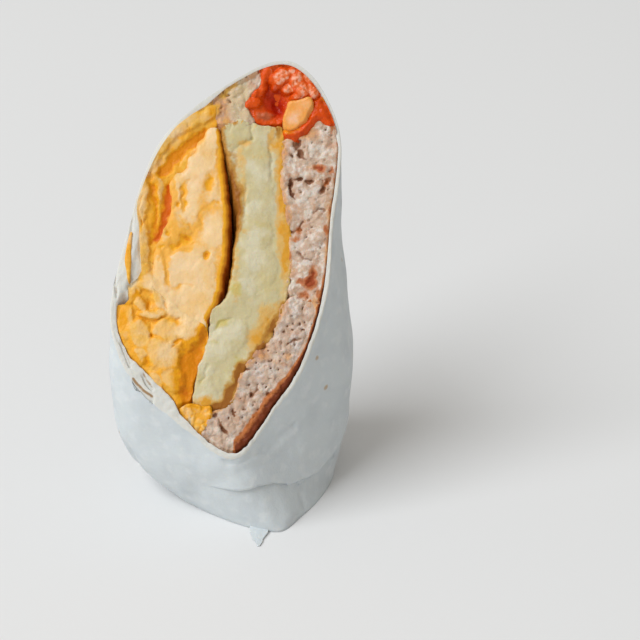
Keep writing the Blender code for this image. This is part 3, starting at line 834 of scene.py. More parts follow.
YELLOW_PATCHES = (
    (5, 91.6, 2.6, 1, 0.9), (12.2, 92.6, 1.6, 4, 1), (4, 78, 1.6, 5, 0.7), (10.6, 40.6, 2.8, 4.4, 0.9),
    (7.4, 34.6, 3, 3, 1), (14.6, 66, 1.2, 9, 0.8), (16, 58, 1, 4.6, 1.3), (8, 87.4, 3.4, 1.6, 0.4),
    (-7.6, 15.4, 4, 2.2, 1), (3, 87, 1.6, 4.4, 0.6), (4.4, 65.6, 1.6, 1.4, 0.5), (1.8, 56, 1.4, 8, 0.5),
    (2, 46, 2, 3, 0.3),
)
GREEN_PATCHES = (
    (1.8, 48.8, 2.4, 2.6, 1), (-2.4, 38.6, 2.6, 1.5, 0.9), (2.6, 27.4, 1.6, 2.2, 1), (1.4, 60, 1, 6, 0.5),
    (-4.4, 33, 1.8, 1.6, 0.6), (0.6, 21.6, 1.4, 3, 0.6), (-9, 23.4, 1, 3, 0.5),
)
BROWN_PATCHES = (
    (-0.2, 17.6, 1.6, 2.6, 1.1), (3, 24.6, 1.8, 3.4, 1.1), (9.4, 31.6, 1.4, 1, 0.9), (2, 75, 1.6, 6, 0.9),
    (3.6, 78.6, 1, 2, 0.5), (1.6, 88, 1.2, 4, 0.5), (-5, 13.4, 2.2, 1, 1), (13.2, 37.4, 0.9, 1.8, 0.8),
    (14.4, 95.4, 1.2, 2.4, 0.9), (-2.2, 14.6, 3, 1, 0.8),
)
SEAM = (  # where the potato lies on the chicken
    (-4.6, 13.2), (-0.2, 16.8), (2.2, 22.4), (4.4, 26.4), (8.2, 30.2), (11.8, 36.2), (14.2, 40.4),
    (15.4, 43.6),
)


def potato_relief(across, up, edge, toward):
    x, s = uneven(across, up, 0.7, 75)
    left, right = smooth(-toward[:, 0] * 2 - 0.2), smooth(toward[:, 0] * 2 - toward[:, 1])
    mash, _ = petals(x, s, POTATO_SHEETS, -0.3, 0.7)
    creases = sum(groove(x, s, route, 0.5) for route in POTATO_CREASES)
    crisp = lumps(x, s, 1.9, 15)
    beside_gap = smooth((up - 62) / 6)
    crust = smooth(1 - edge / (1.4 + 1.5 * beside_gap + 0.9 * swell(across, up, 3, 16)))
    soft = 0.25 * swell(across, up, 6, 17) + 0.06 * swell(across, up, 1.7, 18)
    heights = 0.5 * mash + soft - 0.3 * creases + 0.3 * (crisp - 0.5) * crust - 0.5
    width = 3.2 + 1.5 * swell(across, up, 5, 19) + 1.6 * smooth((48 - up) / 8)
    rich = 0.4 + 0.6 * smooth((up - 50) / 10)
    pan_side = crust * left * (0.3 + 0.7 * smooth((up - 46) / 5))
    fat_side = smooth(1.2 - edge / np.maximum(width, 0.8)) * right * rich
    kept = {
        "brown": pan_side + hollows(x, s, BROWN_PATCHES) + 0.95 * groove(x, s, SEAM, 1.5),
        "golden": fat_side + 0.8 * hollows(x, s, YELLOW_PATCHES),
        "green": hollows(x, s, GREEN_PATCHES) + 0.35 * creases,
    }
    return heights, 0.35 + 0.9 * left * smooth((up - 44) / 4), kept


POTATO_BULGES = (
    (3.6, 98.4, 2.6, 2, 1.7), (9.4, 98.4, 1.6, 2, -0.7), (13, 98, 2, 2, -1), (0.8, 66, 2, 16, 0.2),
    (-4.4, 42.6, 2.4, 2.4, 1.2), (-1.6, 93, 1.4, 3, 0.4), (-11, 21, 1.6, 6, -0.7),
)
potato_outline = face_outline("potato", 0.9, 0.4, 4, POTATO_BULGES)
potato_cake = cut_piece("potato_cake", potato_outline, potato_relief, DEEP)

# %% [markdown]
# ## Chicken
# The chicken is chopped meat pressed into a fillet and fried. Its cut face is a mottle of
# grey-pink and cream with small pores, and its outside is a thin reddish brown crust that
# is thickest near the bottom. Shade is painted dark in its pores, pits and cracks, and over
# its lower part. Red sauce has soaked in where the two pieces meet.

# %% The chicken pieces
CHICKEN_PITS = (  # across, up, half-width, half-length, depth
    (17.8, 79.4, 0.5, 1.9, 1.4), (18.6, 76.6, 0.7, 0.9, 1.3), (20.8, 77.4, 0.6, 0.6, 0.9),
    (20.8, 81.2, 0.8, 0.5, 1.1), (23.6, 80.4, 1.1, 0.5, 1), (20.2, 91.6, 0.8, 1.2, 1.5),
    (21, 88.6, 0.9, 1.3, 1.4), (18.4, 88, 0.7, 1, 1.1), (27.4, 92, 0.5, 0.5, 0.9),
    (28.2, 95.8, 0.5, 0.6, 0.9), (28.8, 80, 0.9, 1, 1), (27.6, 77.8, 0.7, 1, 1),
    (29.4, 83.6, 0.6, 0.4, 0.9), (17.8, 65.5, 0.9, 0.7, 1), (20.7, 66.1, 0.6, 0.9, 0.9),
    (20.3, 38.4, 0.6, 0.6, 1.1), (21.2, 36.8, 0.4, 0.5, 0.9), (12.4, 36.4, 0.8, 1.7, 1.3),
    (9.6, 31.8, 1.5, 0.8, 1.3), (4, 25.2, 1, 0.8, 1.4), (6.3, 17.6, 0.5, 0.7, 1.1),
    (11.2, 17.6, 0.7, 0.7, 1.1), (12.6, 18.2, 0.4, 0.4, 0.7), (0.8, 12.6, 0.5, 0.9, 1.1),
    (3.8, 10.9, 0.5, 0.5, 1), (-2.4, 7.6, 0.6, 0.7, 1.2), (-1.4, 7, 0.4, 0.5, 1),
    (11.8, 22.4, 0.4, 0.4, 0.8), (15.2, 32.8, 0.5, 0.7, 0.8), (19, 32.2, 0.3, 0.6, 0.7),
    (4.2, 13.6, 0.5, 0.5, 0.7), (5.6, 20.8, 0.8, 0.6, 0.8), (-4.4, 11.6, 0.9, 0.7, 1.2),
    (8.4, 13.4, 0.4, 0.6, 0.9), (9.8, 20.6, 0.5, 0.4, 0.9), (14.2, 24.8, 0.5, 0.5, 0.9),
    (11.6, 27.6, 0.6, 0.5, 0.9), (15.8, 36.4, 0.5, 0.7, 0.9), (18.4, 40.6, 0.5, 0.5, 0.8),
    (21.6, 43, 0.4, 0.7, 0.9), (6.6, 14.6, 0.4, 0.5, 0.8), (17.6, 29.6, 0.5, 0.5, 0.8),
    (-0.6, 105.8, 0.9, 0.5, 1.1), (-0.1, 103.9, 0.4, 0.5, 0.9), (7.6, 110.8, 0.4, 0.6, 0.7),
)
RED_MARKS = (
    (26.4, 84.2, 1.9, 1.1, 1.1), (21.6, 94.6, 2, 1.1, 0.9), (20.2, 66, 1.3, 1.3, 0.7),
    (28.4, 80, 1.2, 1.8, 0.6), (30, 83.6, 0.9, 1.6, 0.6), (28.4, 66, 0.8, 2.2, 0.8),
    (19.2, 63.4, 1.6, 0.8, 0.7), (17.4, 58.4, 0.9, 2, 0.7), (23.4, 50.4, 2, 1.7, 1.3),
    (21.8, 47, 2, 1.3, 0.8), (24.4, 53.4, 1.2, 2.6, 0.9), (20.4, 51, 1.4, 1.1, 0.6),
    (26.2, 47.4, 0.9, 1.8, 0.6), (29.9, 97.6, 0.6, 4, 0.8), (9.6, 99.8, 2.4, 1.2, 0.5),
)
WARM_PATCHES = (
    (15.4, 89.4, 1.6, 4.6, 1.1), (15.8, 76, 1.2, 6, 0.8), (17.4, 71, 1.4, 3, 0.8),
    (16.6, 65, 1.4, 6, 0.7), (24.6, 84.2, 4, 1.4, 0.7), (24, 94, 4.4, 3, 0.5), (17.2, 55, 2.2, 3.4, 0.8),
    (25.4, 44.4, 1.4, 3.6, 0.9), (17, 29, 1.8, 1.8, 0.9), (13.4, 27, 1.6, 2, 0.5),
    (7, 8.4, 4.4, 1.6, 0.7), (28.8, 72, 1.3, 5, 0.7), (0.4, 96, 3, 3, 0.8), (-2.8, 101, 2.2, 4, 0.9),
    (26.6, 100, 2, 1.4, 0.6), (9.8, 24, 1.4, 0.9, 0.5), (28.6, 60, 1, 4, 0.7), (-2.6, 104, 3.4, 5, 0.9),
    (6.6, 111, 3, 2.4, 0.4), (9, 29.6, 3.4, 2.6, 0.8), (22.6, 94.6, 3, 2.4, 0.5),
)
PALE_PATCHES = (
    (24.6, 89.6, 2.2, 2.6, 0.9), (25.6, 76.8, 1.8, 3, 0.9), (20.6, 84, 3.4, 1.3, 0.8),
    (21.6, 74.4, 2.4, 1.8, 0.7), (24.4, 62, 2.6, 4, 0.7), (20.6, 79, 1.4, 1.2, 0.9),
    (14, 36, 1.4, 3, 0.5), (8, 24, 2, 2.4, 0.6), (18.6, 42, 1.6, 3, 0.7), (19.4, 33, 2.8, 3, 1.1),
    (3, 17.6, 2, 1.6, 0.6), (22.6, 56, 1.6, 2, 0.6),
)
CRACKS = (  # lines between shreds of meat
    ((18.4, 81.4), (17.6, 79), (18, 76.6), (19.4, 75.2)), ((18.6, 81.2), (20.2, 80.8), (21.4, 81.6)),
    ((22.2, 80.2), (23.4, 79.6), (24.8, 80.6)), ((18.8, 91.8), (19.6, 89.6), (20.8, 87.8), (22.4, 87)),
    ((26.6, 76.8), (27.6, 79), (29.6, 81.6)), ((18.6, 65.4), (20.2, 66.4), (21.4, 68.6)),
    ((8.6, 31.4), (11.2, 34), (12.4, 37.6)), ((2.8, 25), (4.6, 25.8), (6, 25.2)),
    ((14.4, 43.6), (16.4, 47.4), (17.6, 51.6)), ((-3.4, 10.4), (-2.2, 8), (-0.6, 6.4)),
    ((20, 59.6), (21.4, 57.6), (23.8, 57)), ((6, 17.4), (7.6, 18.6), (8.4, 20.6)),
    ((16.6, 32.2), (18.2, 33.4), (20.6, 34)), ((24.6, 71), (26, 72.4), (27.8, 72)),
)
BROWN_MEAT = ((24, 93.4, 5.6, 3.4, 0.9), (20.6, 91, 2.4, 2.4, 0.54))
YELLOW_BITS = (
    (-0.2, 109.2, 2.2, 1.6, 1.3), (-2.2, 107, 1.5, 2.4, 1.2), (-4, 101.6, 1.4, 2, 1),
    (-1, 98, 1.4, 2, 0.5),
)
CREAM_PATCHES = ((3.4, 102, 4.6, 5, 1), (2.4, 108.4, 3.6, 3.6, 0.9), (25, 90, 3, 4, 0.4))


def chicken_relief(across, up, edge, toward):
    x, s = uneven(across, up, 0.6, 76, 1.8)
    outer = smooth(toward[:, 0] * 1.6 - toward[:, 1] * 0.5 - 0.1)
    calm = smooth((up - 52) / 8)
    shred = lumps(x, s, 4.4, 20, 1.3, 0.35)
    crumb = lumps(x, s, 1.7, 21, 1, 0.3)
    near, _ = cells(across, up, 1.7, 22)
    pores = smooth((0.3 - near) / 0.16) * smooth(swell(across, up, 5, 23) * 2 + 0.2)
    pits = hollows(x, s, CHICKEN_PITS)
    cracks = np.max([groove(x, s, route, 0.5) for route in CRACKS], axis=0)
    sauce = hollows(x, s, RED_MARKS)
    pale = hollows(x, s, PALE_PATCHES) * (0.7 + 0.6 * swell(across, up, 1.6, 40))
    low = smooth((52 - up) / 12)
    heights = 0.6 * shred + (0.3 - 0.18 * calm) * crumb + 0.4 * swell(across, up, 6, 24) + 0.3 * pale
    heights += 0.1 * swell(across, up, 0.9, 25) - 0.2 * sauce - 0.8
    heights -= 0.45 * pores + 0.85 * pits + 0.45 * cracks
    width = 0.9 + 2.7 * smooth((34 - up) / 24) + 0.5 * swell(across, up, 4, 26)
    crust = smooth(1.3 - edge / np.maximum(width, 0.5)) * outer
    rim = 0.5 * smooth(1 - edge / 1.4)
    # painted shade in the pores, pits, cracks and between the shreds, deeper towards the bottom
    dark = (0.6 + 0.4 * low) * pores + 0.9 * pits + 0.7 * cracks + 0.4 * smooth(0.4 - shred)
    kept = {
        "crust": crust * (1 - 0.75 * smooth((up - 46) / 10)),
        "warm": hollows(x, s, WARM_PATCHES) + rim + 0.8 * groove(x, s, SEAM, 1.6),
        # low: painted shade, darker towards the bottom, with brown meat patches near the top
        "low": low + hollows(x, s, BROWN_MEAT),
        "pit_shade": np.clip(dark, 0, 1),
        "pale": np.clip(pale + 0.9 * low * swell(across, up, 3.4, 44), 0, 1),
        "sauce": np.clip(sauce, 0, 1.2),
        "egg": hollows(x, s, YELLOW_BITS),
        "cream": hollows(x, s, CREAM_PATCHES),
    }
    return heights, 0.4 + 0.3 * outer, kept


chicken = {
    node: cut_piece(f"cut_{node}", face_outline(node, 0.7), chicken_relief)
    for node in ("chicken_upper", "chicken_lower", "chicken_corner")
}

# %% [markdown]
# ## Tomato salsa and red pepper
# At the top the wrap is wet: chopped tomato in its own sauce, with a hollow in the middle
# painted dark red as its shade, one pale square dice of pepper and a soft red strip of it
# down the side. What makes them read as wet is low roughness over lumps that catch the
# light, with pale highlights also painted on the tomato chunks.

# %% The salsa
SALSA_CHUNKS = (
    (15, 111, 3.4, 2.6, 70, 0.9, 0), (19.6, 110.4, 3, 2.4, 20, 0.9, 0),
    (21.2, 107.4, 2.8, 2.3, -30, 1, 0), (17.4, 107.6, 2.2, 1.6, 60, 0.5, 0),
    (11, 112.6, 2.6, 1.6, 20, 0.5, 0), (6.4, 103.6, 3.2, 1.6, 80, 0.3, 0),
    (9.6, 108.4, 3.4, 1.5, 10, 0.1, 0), (11.6, 100, 3.6, 1.2, 84, -0.5, 0),
    (23, 110.6, 2, 1.5, -40, 0.6, 0), (13.4, 108.4, 1.6, 1.2, 0, 0.2, 0),
    (7.6, 106.6, 1.6, 1.4, 20, 0.1, 0), (18.2, 112.6, 1.6, 1.3, 60, 0.6, 0),
    (24.4, 106.8, 3, 2, -30, 0.9, 0), (20.4, 105.4, 2.4, 1.4, 80, 0.6, 0),
)
SALSA_BROWN = ((10, 99.6, 3.2, 1.6, 1), (5.6, 103.4, 2.6, 1.2, 0.5))
SALSA_HOLLOWS = ((13.6, 103.8, 2.6, 4, 2.6), (11, 106, 1.2, 4.4, 0.9), (14.4, 101.6, 1.6, 2.4, 1.2))


def salsa_relief(across, up, edge, toward):
    x, s = uneven(across, up, 0.6, 77)
    shade_depth = hollows(x, s, SALSA_HOLLOWS)
    chunks, middle = petals(x, s, SALSA_CHUNKS, -1)
    beads = lumps(x, s, 1.3, 27, 1, 0.5) * smooth((up - 104) / 3) * smooth((across - 12) / 3)
    heights = 1.1 * chunks + 0.35 * beads + 0.3 * swell(across, up, 2.4, 28) - 0.8 * shade_depth - 0.2
    kept = {
        # the hollow, painted darker red as its shade
        "shade_depth": np.clip(shade_depth / 2.6, 0, 1),
        # the chunks' middles, paler orange, with painted highlights on them
        "chunk_and_highlight": smooth(1.6 * middle) * (0.4 + 0.6 * smooth((across - 11) / 3)),
        "brown": hollows(x, s, SALSA_BROWN),
    }
    return heights, 0.6, kept


chopped_tomato = cut_piece("chopped_tomato", face_outline("salsa", 0.7), salsa_relief)


# %% The pepper
DICE_PALE = ((18.8, 98.8, 2.6, 2.4, 0.9), (22, 103, 2.6, 2.6, 0.6))
DICE_BULGES = ((23.4, 103.6, 1.8, 2.4, 0.8),)


def dice_relief(across, up, edge, toward):
    facet = np.clip(0.16 * (across - 19.4) + 0.12 * (up - 101.5), -1.2, 0.9)
    heights = 1.1 + facet + 0.1 * swell(across, up, 2.4, 29)
    return heights, 0.7, {"pale": hollows(across, up, DICE_PALE)}


STRIP_BRIGHT = (
    (17.4, 95.8, 3, 1.8, 1.3), (28, 104.4, 1.6, 1.6, 0.5), (29.2, 103.2, 0.9, 2.4, 0.7),
    (27.2, 105.4, 1.3, 1, 0.4),
)


def strip_relief(across, up, edge, toward):
    x, s = uneven(across, up, 0.5, 78)
    ridge = smooth(edge / 2)
    heights = 0.9 * ridge + 0.45 * swell(across, up, 3.6, 31) + 0.2 * swell(across, up, 1.4, 32) - 0.2
    return heights, 0.6, {"pale": hollows(x, s, STRIP_BRIGHT)}


dice_outline = face_outline("pepper_dice", 0.6, bulges=DICE_BULGES)
square_of_pepper = cut_piece("square_of_pepper", dice_outline, dice_relief)
strip_of_pepper = cut_piece("strip_of_pepper", face_outline("pepper_strip", 0.45), strip_relief)

# %% [markdown]
# ## The tortilla
# One sheet of flour tortilla is the whole outside, the cut rim, the inside and the folded
# end. A grid is bent round the sleeve, so one direction of it runs round and the other runs
# from the folded end up the outside, over the rim and down the inside. Near the foot the
# sheet steps in under the free edge of the outer layer.

# %% The rolled sheet
FLAP_STEP, FLOOR_OF_CAVITY = 1.1, 8.0
FLAP_EDGE = np.array([  # around, height
    (0, 14.2), (0.35, 14.9), (0.7, 14), (1.02, 11.7), (1.05, 10.9), (1.5, 9.9), (2.1, 8.6), (2.6, 11.5),
    (3.1, 17), (3.7, 21.5), (4.4, 24), (5, 22.5), (5.6, 17), (6.2, 11), (6.9, 7.5), (7.6, 6.6), (8.4, 8),
    (9.2, 10), (10, 11.5), (11, 14.2),
])
COLUMNS, PACKET_ROWS, SKIN_ROWS, RIM_ROWS, INSIDE_ROWS = 600, 20, 80, 24, 16
FLAP_LIP = (  # inset and height above the free edge, round the lip of the outer layer
    (1.12, 1.3), (0.9, 1.45), (0.72, 1), (0.66, 0.1), (0.36, -0.25), (0.08, 0), (0, 0.7),
)
UNDER_LIP, LIP_TOP = 0.3, 1.2  # the folded end stops below the free edge, and the skin starts above it
RIM_START = PACKET_ROWS + len(FLAP_LIP) + SKIN_ROWS
INSIDE_START = RIM_START + RIM_ROWS


def free_share(around):
    """How far the outer layer stands off the folded end. On the front left they are one."""
    return np.maximum(smooth((8 - around) / 1.5), smooth((around - 10.2) / 0.8))


def sheet_profile(around):
    """Inset and height of every row, for each column: up the outside, over and down."""
    flap = np.interp(around, *FLAP_EDGE.T)
    top_outer, top_inner = rim_height(around, tucked(around)), rim_height(around, lining(around))
    free = free_share(around)
    rows = []
    for share in np.linspace(0, 1, PACKET_ROWS):
        rows.append((FLAP_STEP * free, share * (flap - UNDER_LIP)))
    for index, (inset, rise) in enumerate(FLAP_LIP):
        rows.append((inset * free, flap + rise * free + (1 - free) * 0.15 * (index + 1)))
    for share in np.linspace(0, 1, SKIN_ROWS + 1)[1:]:
        height = flap + LIP_TOP + (top_outer - flap - LIP_TOP) * share
        rows.append((tucked(around) * smooth(1 - (top_outer - height) / TUCK_HEIGHT), height))
    for share in np.linspace(0, 1, RIM_ROWS + 2)[1:-1]:
        inset = tucked(around) + (lining(around) - tucked(around)) * share
        rows.append((inset, rim_height(around, inset)))
    low_front = smooth((60 - top_inner) / 15)
    for share in np.linspace(1, 0, INSIDE_ROWS) ** 1.3:
        height = FLOOR_OF_CAVITY + (top_inner - FLOOR_OF_CAVITY) * share
        rows.append((lining(around) + 0.7 * low_front * smooth((top_inner - height) / 6), height))
    return np.array([row[0] for row in rows]), np.array([row[1] for row in rows])


def make_tortilla():
    around_line = np.arange(COLUMNS + 1) / COLUMNS * ROUND
    around_line[-1] = 0.0
    inset, height = sheet_profile(around_line)
    rows = len(inset)
    obj = grid("rolled_tortilla", COLUMNS, rows - 1)
    flat = points_of(obj)[:, :2] + 0.5
    column = np.rint(flat[:, 0] * COLUMNS).astype(int)
    row = np.rint(flat[:, 1] * (rows - 1)).astype(int)
    around, inset, height = around_line[column], inset[row, column], height[row, column]
    points = np.column_stack([sleeve_xy(around, height, inset), height])
    normal = np.column_stack([sleeve_xy(around, height, inset - 1), height]) - points
    points += tortilla_relief(points, normal, around, inset, height, row)
    move_points(obj, points * MM)
    store(obj, "rim", smooth((row - RIM_START + 2) / 2) * smooth((INSIDE_START - row + 2) / 2))
    store(obj, "fleck", fleck_mask(around, height, row))
    store(obj, "toast", toast_mask(points, row))
    edit(obj)
    bpy.ops.mesh.select_all(action="SELECT")
    bpy.ops.mesh.remove_doubles(threshold=0.00001)
    pick(obj, "edges", lambda line: line.is_boundary)
    bpy.ops.mesh.edge_face_add()
    close_up(obj)
    report(obj)
    return obj


# %% [markdown]
# ## Soft dents, creases and slits
# A rolled tortilla isn't a tube: it swells over lumps, sags between them, and creases where
# it turns a corner. The rim is uneven because a soft sheet drags under the knife, and on the
# left it parts into layers with dark slits between them.

# %% The sheet's relief
CREASES = (  # around and height of the line's points, half-width, depth
    (((-0.15, 23.6), (0.35, 24.6), (0.95, 26.2), (1.5, 29)), 1.5, 0.7),
    (((0.1, 20.4), (0.8, 21), (1.5, 21.6)), 2.4, 0.5),
    (((0.55, 27.6), (1.1, 28.6), (1.7, 32)), 1.6, 0.45),
    (((0.45, 25.6), (0.78, 23.4), (1.1, 25.4)), 1.2, 0.5), (((9.9, 7), (10.3, 13), (10.7, 17)), 3, 0.5),
    (((1.2, 0.5), (1.35, 5), (1.5, 8.5)), 1.6, 0.5), (((0.25, 1), (0.5, 6), (0.6, 11)), 2.6, 0.35),
    (((6.95, 96), (6.95, 110)), 8, -0.8), (((0.75, 3), (0.7, 9)), 8, -1.1),
    (((3.5, 1), (3.8, 9), (4.3, 19)), 1.8, 0.7), (((4.9, 1), (5, 8), (4.8, 15)), 1.5, 0.6),
    (((6, 1), (6.2, 8), (6.9, 22)), 2, 0.8), (((7.3, 1), (7.2, 6), (7.6, 14)), 1.6, 0.6),
    (((8.6, 1), (8.5, 6), (8.9, 16)), 2, 0.6), (((3.3, 24), (4.4, 30), (5.6, 33)), 2.4, 0.6),
    (((5.4, 50), (6.2, 54), (7.1, 53)), 3, 0.4), (((4.2, 66), (4.9, 72), (5.4, 82)), 3, 0.4),
)
SLITS = (  # across and up on the cut face, half-width, depth
    (((-29.3, 63), (-29, 67), (-28.6, 70.4)), 0.5, 0.5),
    (((-33.9, 54.6), (-33.7, 51), (-33.2, 47.4)), 0.45, 0.6),
    (((-32, 33.4), (-30.6, 30), (-29.4, 27)), 0.45, 0.6),
    (((-25.4, 24), (-24.4, 22), (-22.8, 20)), 0.45, 0.8),
    (((-28.4, 22.4), (-27, 20.6), (-25, 18.7), (-22.8, 17.2)), 0.6, 0.9),
)
TOASTED = (0.5, 0.6, 0.55, 0.75, 1.0)  # how brown the edge beside each slit is
MM_PER_ANCHOR = 19.0  # the sleeve is about 210 mm round
NEAR_RIM = 3.0  # below the rim, the skin follows the dragged edge over this far
SAG = np.array([(3.6, 1), (4.6, 0.15), (7.2, 0.15), (7.6, 1)])  # around, and less where it is thin


def tortilla_relief(points, normal, around, inset, height, row):
    """How far each point of the sheet moves, in millimetres."""
    soft = np.array([noise.fractal(point / 17.0, 0.9, 2.0, 2) for point in points])
    small = np.array([noise.fractal(point / 5.0 + 9.0, 0.9, 2.0, 2) for point in points])
    dent = 0.5 * soft + 0.04 * small - 0.1
    for route, width, depth in CREASES:
        line = [(place * MM_PER_ANCHOR, rise) for place, rise in route]
        for turned in (around, around - ROUND):
            dent -= depth * groove(turned * MM_PER_ANCHOR, height, line, width)
    below_rim = rim_height(around, inset) - height
    dent = np.maximum(dent, -np.where(height > 30, 0.45, 1) * (0.3 + 0.7 * smooth(below_rim / 8)))
    share = np.clip((row - RIM_START + 1) / (RIM_ROWS + 1), 0, 1)
    outside = (1 - share) * smooth(height / 3)
    moved = normal * (dent * outside)[:, None]
    across, up = points[:, 0], (points - CUT_CORNER) @ UP_SLOPE
    on_rim = (row >= RIM_START - 1) & (row < INSIDE_START)
    rolled = 0.35 * np.abs(2 * share - 1) ** 5 + 0.3
    drag = 0.3 * swell(across, up, 5, 33) + 0.15 * swell(across, up, 1.6, 34)
    cut = sum(depth * groove(across, up, line, width) for line, width, depth in SLITS)
    upper_left = smooth((up - 44) / 3) * smooth((78 - up) / 6) * (across < -20)
    tail = 0.7 * smooth((inset - 3.4) / 1.2) * upper_left
    near_rim = smooth(1 - below_rim / NEAR_RIM)
    sag = np.interp(around, *SAG.T)
    sink = sag * np.where(on_rim, rolled - drag + cut + tail, near_rim * (0.65 - drag))
    moved[:, 2] -= sink / OUT[2]
    return moved


FLECKS = (  # around, height and radius
    (2.14, 48.4, 1.1), (2.34, 36.4, 1.2), (3.3, 70, 0.9), (5.2, 60, 1.3), (6.1, 35, 1.5), (6.8, 75, 1),
    (4.4, 30, 1.2), (8.6, 22, 0.8),
)


def fleck_mask(around, height, row):
    """Small toasted spots on the outside."""
    total = np.zeros(len(around))
    for place, rise, radius in FLECKS:
        away = np.hypot((around - place) * MM_PER_ANCHOR, height - rise)
        total += smooth(1.3 - away / radius)
    return total * (row <= RIM_START)


def toast_mask(points, row):
    """The browned edges of the layers, on the lower left of the rim."""
    across, up, out = points[:, 0], (points - CUT_CORNER) @ UP_SLOPE, (points - CUT_CORNER) @ OUT
    lines = [strength * groove(across, up, line, 0.55) for (line, _, _), strength in zip(SLITS, TOASTED)]
    return np.max(lines, axis=0) * smooth((out + 5) / 2) * (row <= INSIDE_START)


rolled_tortilla = make_tortilla()


# %% [markdown]
# ## The torn flake
# A scrap of the outer layer has torn and lies in front of the foot. It starts as a grid
# too, squeezed to a kite, lifted a little towards the foot, and extruded to its thickness.

# %% The torn flake in front of the foot
FLAKE_TIP = np.array([8.3, -6.8 - CENTRE[1]])
FLAKE_LENGTH, FLAKE_WIDTH, FLAKE_THICKNESS = 10.0, 5.6, 0.35


def make_flake():
    """A thin kite that starts at its tip and ends against the foot."""
    obj = grid("torn_flake", 30, 30)
    flat = points_of(obj)[:, :2]
    along, sideways = flat[:, 1] + 0.5, flat[:, 0]
    kite = np.minimum(0.12 + 1.3 * along, 1)
    x = FLAKE_TIP[0] + sideways * FLAKE_WIDTH * kite + 0.35 * swell(along * 9, sideways, 2, 35)
    y = FLAKE_TIP[1] + along * FLAKE_LENGTH + 0.3 * swell(x, along, 2.2, 37)
    lift = 0.1 + 0.2 * np.abs(swell(x, y, 3, 36)) + 0.5 * along**2
    move_points(obj, np.column_stack([x, y, FLAKE_THICKNESS + lift]) * MM)
    edit(obj)
    bpy.ops.mesh.select_all(action="SELECT")
    down = (0.0, 0.0, -FLAKE_THICKNESS * MM)
    bpy.ops.mesh.extrude_region_move(TRANSFORM_OT_translate={"value": down})
    close_up(obj)
    for name in ("rim", "fleck", "toast"):
        store(obj, name, np.zeros(len(obj.data.vertices)))
    report(obj)
    return obj


torn_flake = make_flake()

# %% [markdown]
# ## Egg, potato, chicken and tomato as surfaces
# Each material is named for its food and how it was cooked, and its first comment says what
# that gives the eye. Colours are hex values of the real food in white light, except where
# shade or light is painted in: in the egg's folds, the omelette's skin at the gap, the
# chicken's pits and lower part, the tomato's hollow and highlights, and the egg's outer curl.

# %% Egg
omelette = food(  # set egg, pan fried: smooth, pale where cut, golden where it met the pan
    "omelette_cut", "#EFCB96",
    [
        ("#EBBC74", 0.7, 5.5, 0.44, 0.68),
        ("#F3D3A8", 0.6, 7.5, 0.5, 0.68, 0.0, 0.3),
        ("#EEAC3C", 0.9, "yellow", 0.1, 0.75, 0.6),
        ("#EFA920", 0.95, "slot", 0.2, 0.55, 0.3),
        ("#E08C10", 0.9, "slot", 0.7, 1.1, 0.3),
        ("#F0AC28", 1.0, "skin", 0.03, 0.22, 0.2),
        ("#D98814", 0.95, "skin", 0.4, 0.7, 0.2),
        # where the skin rolls into the gap beside the potato: pan crust with the gap's shade painted in
        ("#9A4208", 0.9, "skin", 0.75, 0.97, 0.15),
    ],
    [(2.4, 0.14), (0.7, 0.06)], 0.5, (0.38, 3.0, 0.4, 0.7), 0.15, "#FFB070",
)
scramble = food(  # softer curds: pale tops where cut, yellow, with shade painted in the folds as orange and red
    "scrambled_egg", "#EEA830",
    [
        ("#EABC74", 0.9, "curd", 0.2, 1.0, 0.7),
        ("#F2D0A0", 0.55, 6.5, 0.52, 0.7, 0.0, 0.2),
        ("#EBB548", 0.6, 4.5, 0.46, 0.64),
        ("#F0CE9C", 0.85, "pale", 0.3, 1.1, 0.6),
        ("#CDBB98", 0.85, "thin", 0.3, 0.9, 0.5),
        # painted shade in the folds, recess and pits: deeper orange, then red
        ("#E89E12", 1.0, "shade_depth", 0.12, 0.55, 0.4),
        ("#DC8404", 0.95, "shade_depth", 0.65, 1.05, 0.3),
        ("#D05C02", 0.9, "red", 0.35, 0.9, 0.3),
    ],
    [(2.0, 0.2), (0.6, 0.08)], 0.48, (0.34, 2.6, 0.4, 0.7), 0.12, "#FFC070",
)
finish_piece(cut_omelette, omelette, "egg", "egg_slab")
softer = {
    "egg_curl": curled_omelette,
    "egg_lumps": soft_curds,
    "egg_crumbs": small_curds,
    "egg_edge": egg_sliver,
}
for node, piece in softer.items():
    finish_piece(piece, scramble, "egg", node)

# %% Potato
hash_brown = food(  # cooked potato, fried: pasty and slightly see-through, crisp at its edges
    "fried_potato_cut", "#C9BC92",
    [
        ("#C9B67C", 0.6, 6.0, 0.46, 0.7),
        ("#D6CEB2", 0.75, 7.0, 0.46, 0.66, 0.0, 0.2),
        ("#C2B060", 0.85, "green", 0.25, 0.9, 0.5),
        ("#D8AC60", 0.9, "golden", 0.15, 0.6, 0.6),
        ("#DA9A28", 0.9, "golden", 0.6, 1.0, 0.6),
        ("#B88434", 0.95, "brown", 0.2, 0.75, 0.6),
        ("#8F5012", 0.8, "brown", 0.75, 1.2, 0.6),
    ],
    [(3.0, 0.14), (0.6, 0.07)], 0.5, (0.36, 4.0, 0.4, 0.7), 0.2, "#FFC080",
)
finish_piece(potato_cake, hash_brown, "potato", "potato")

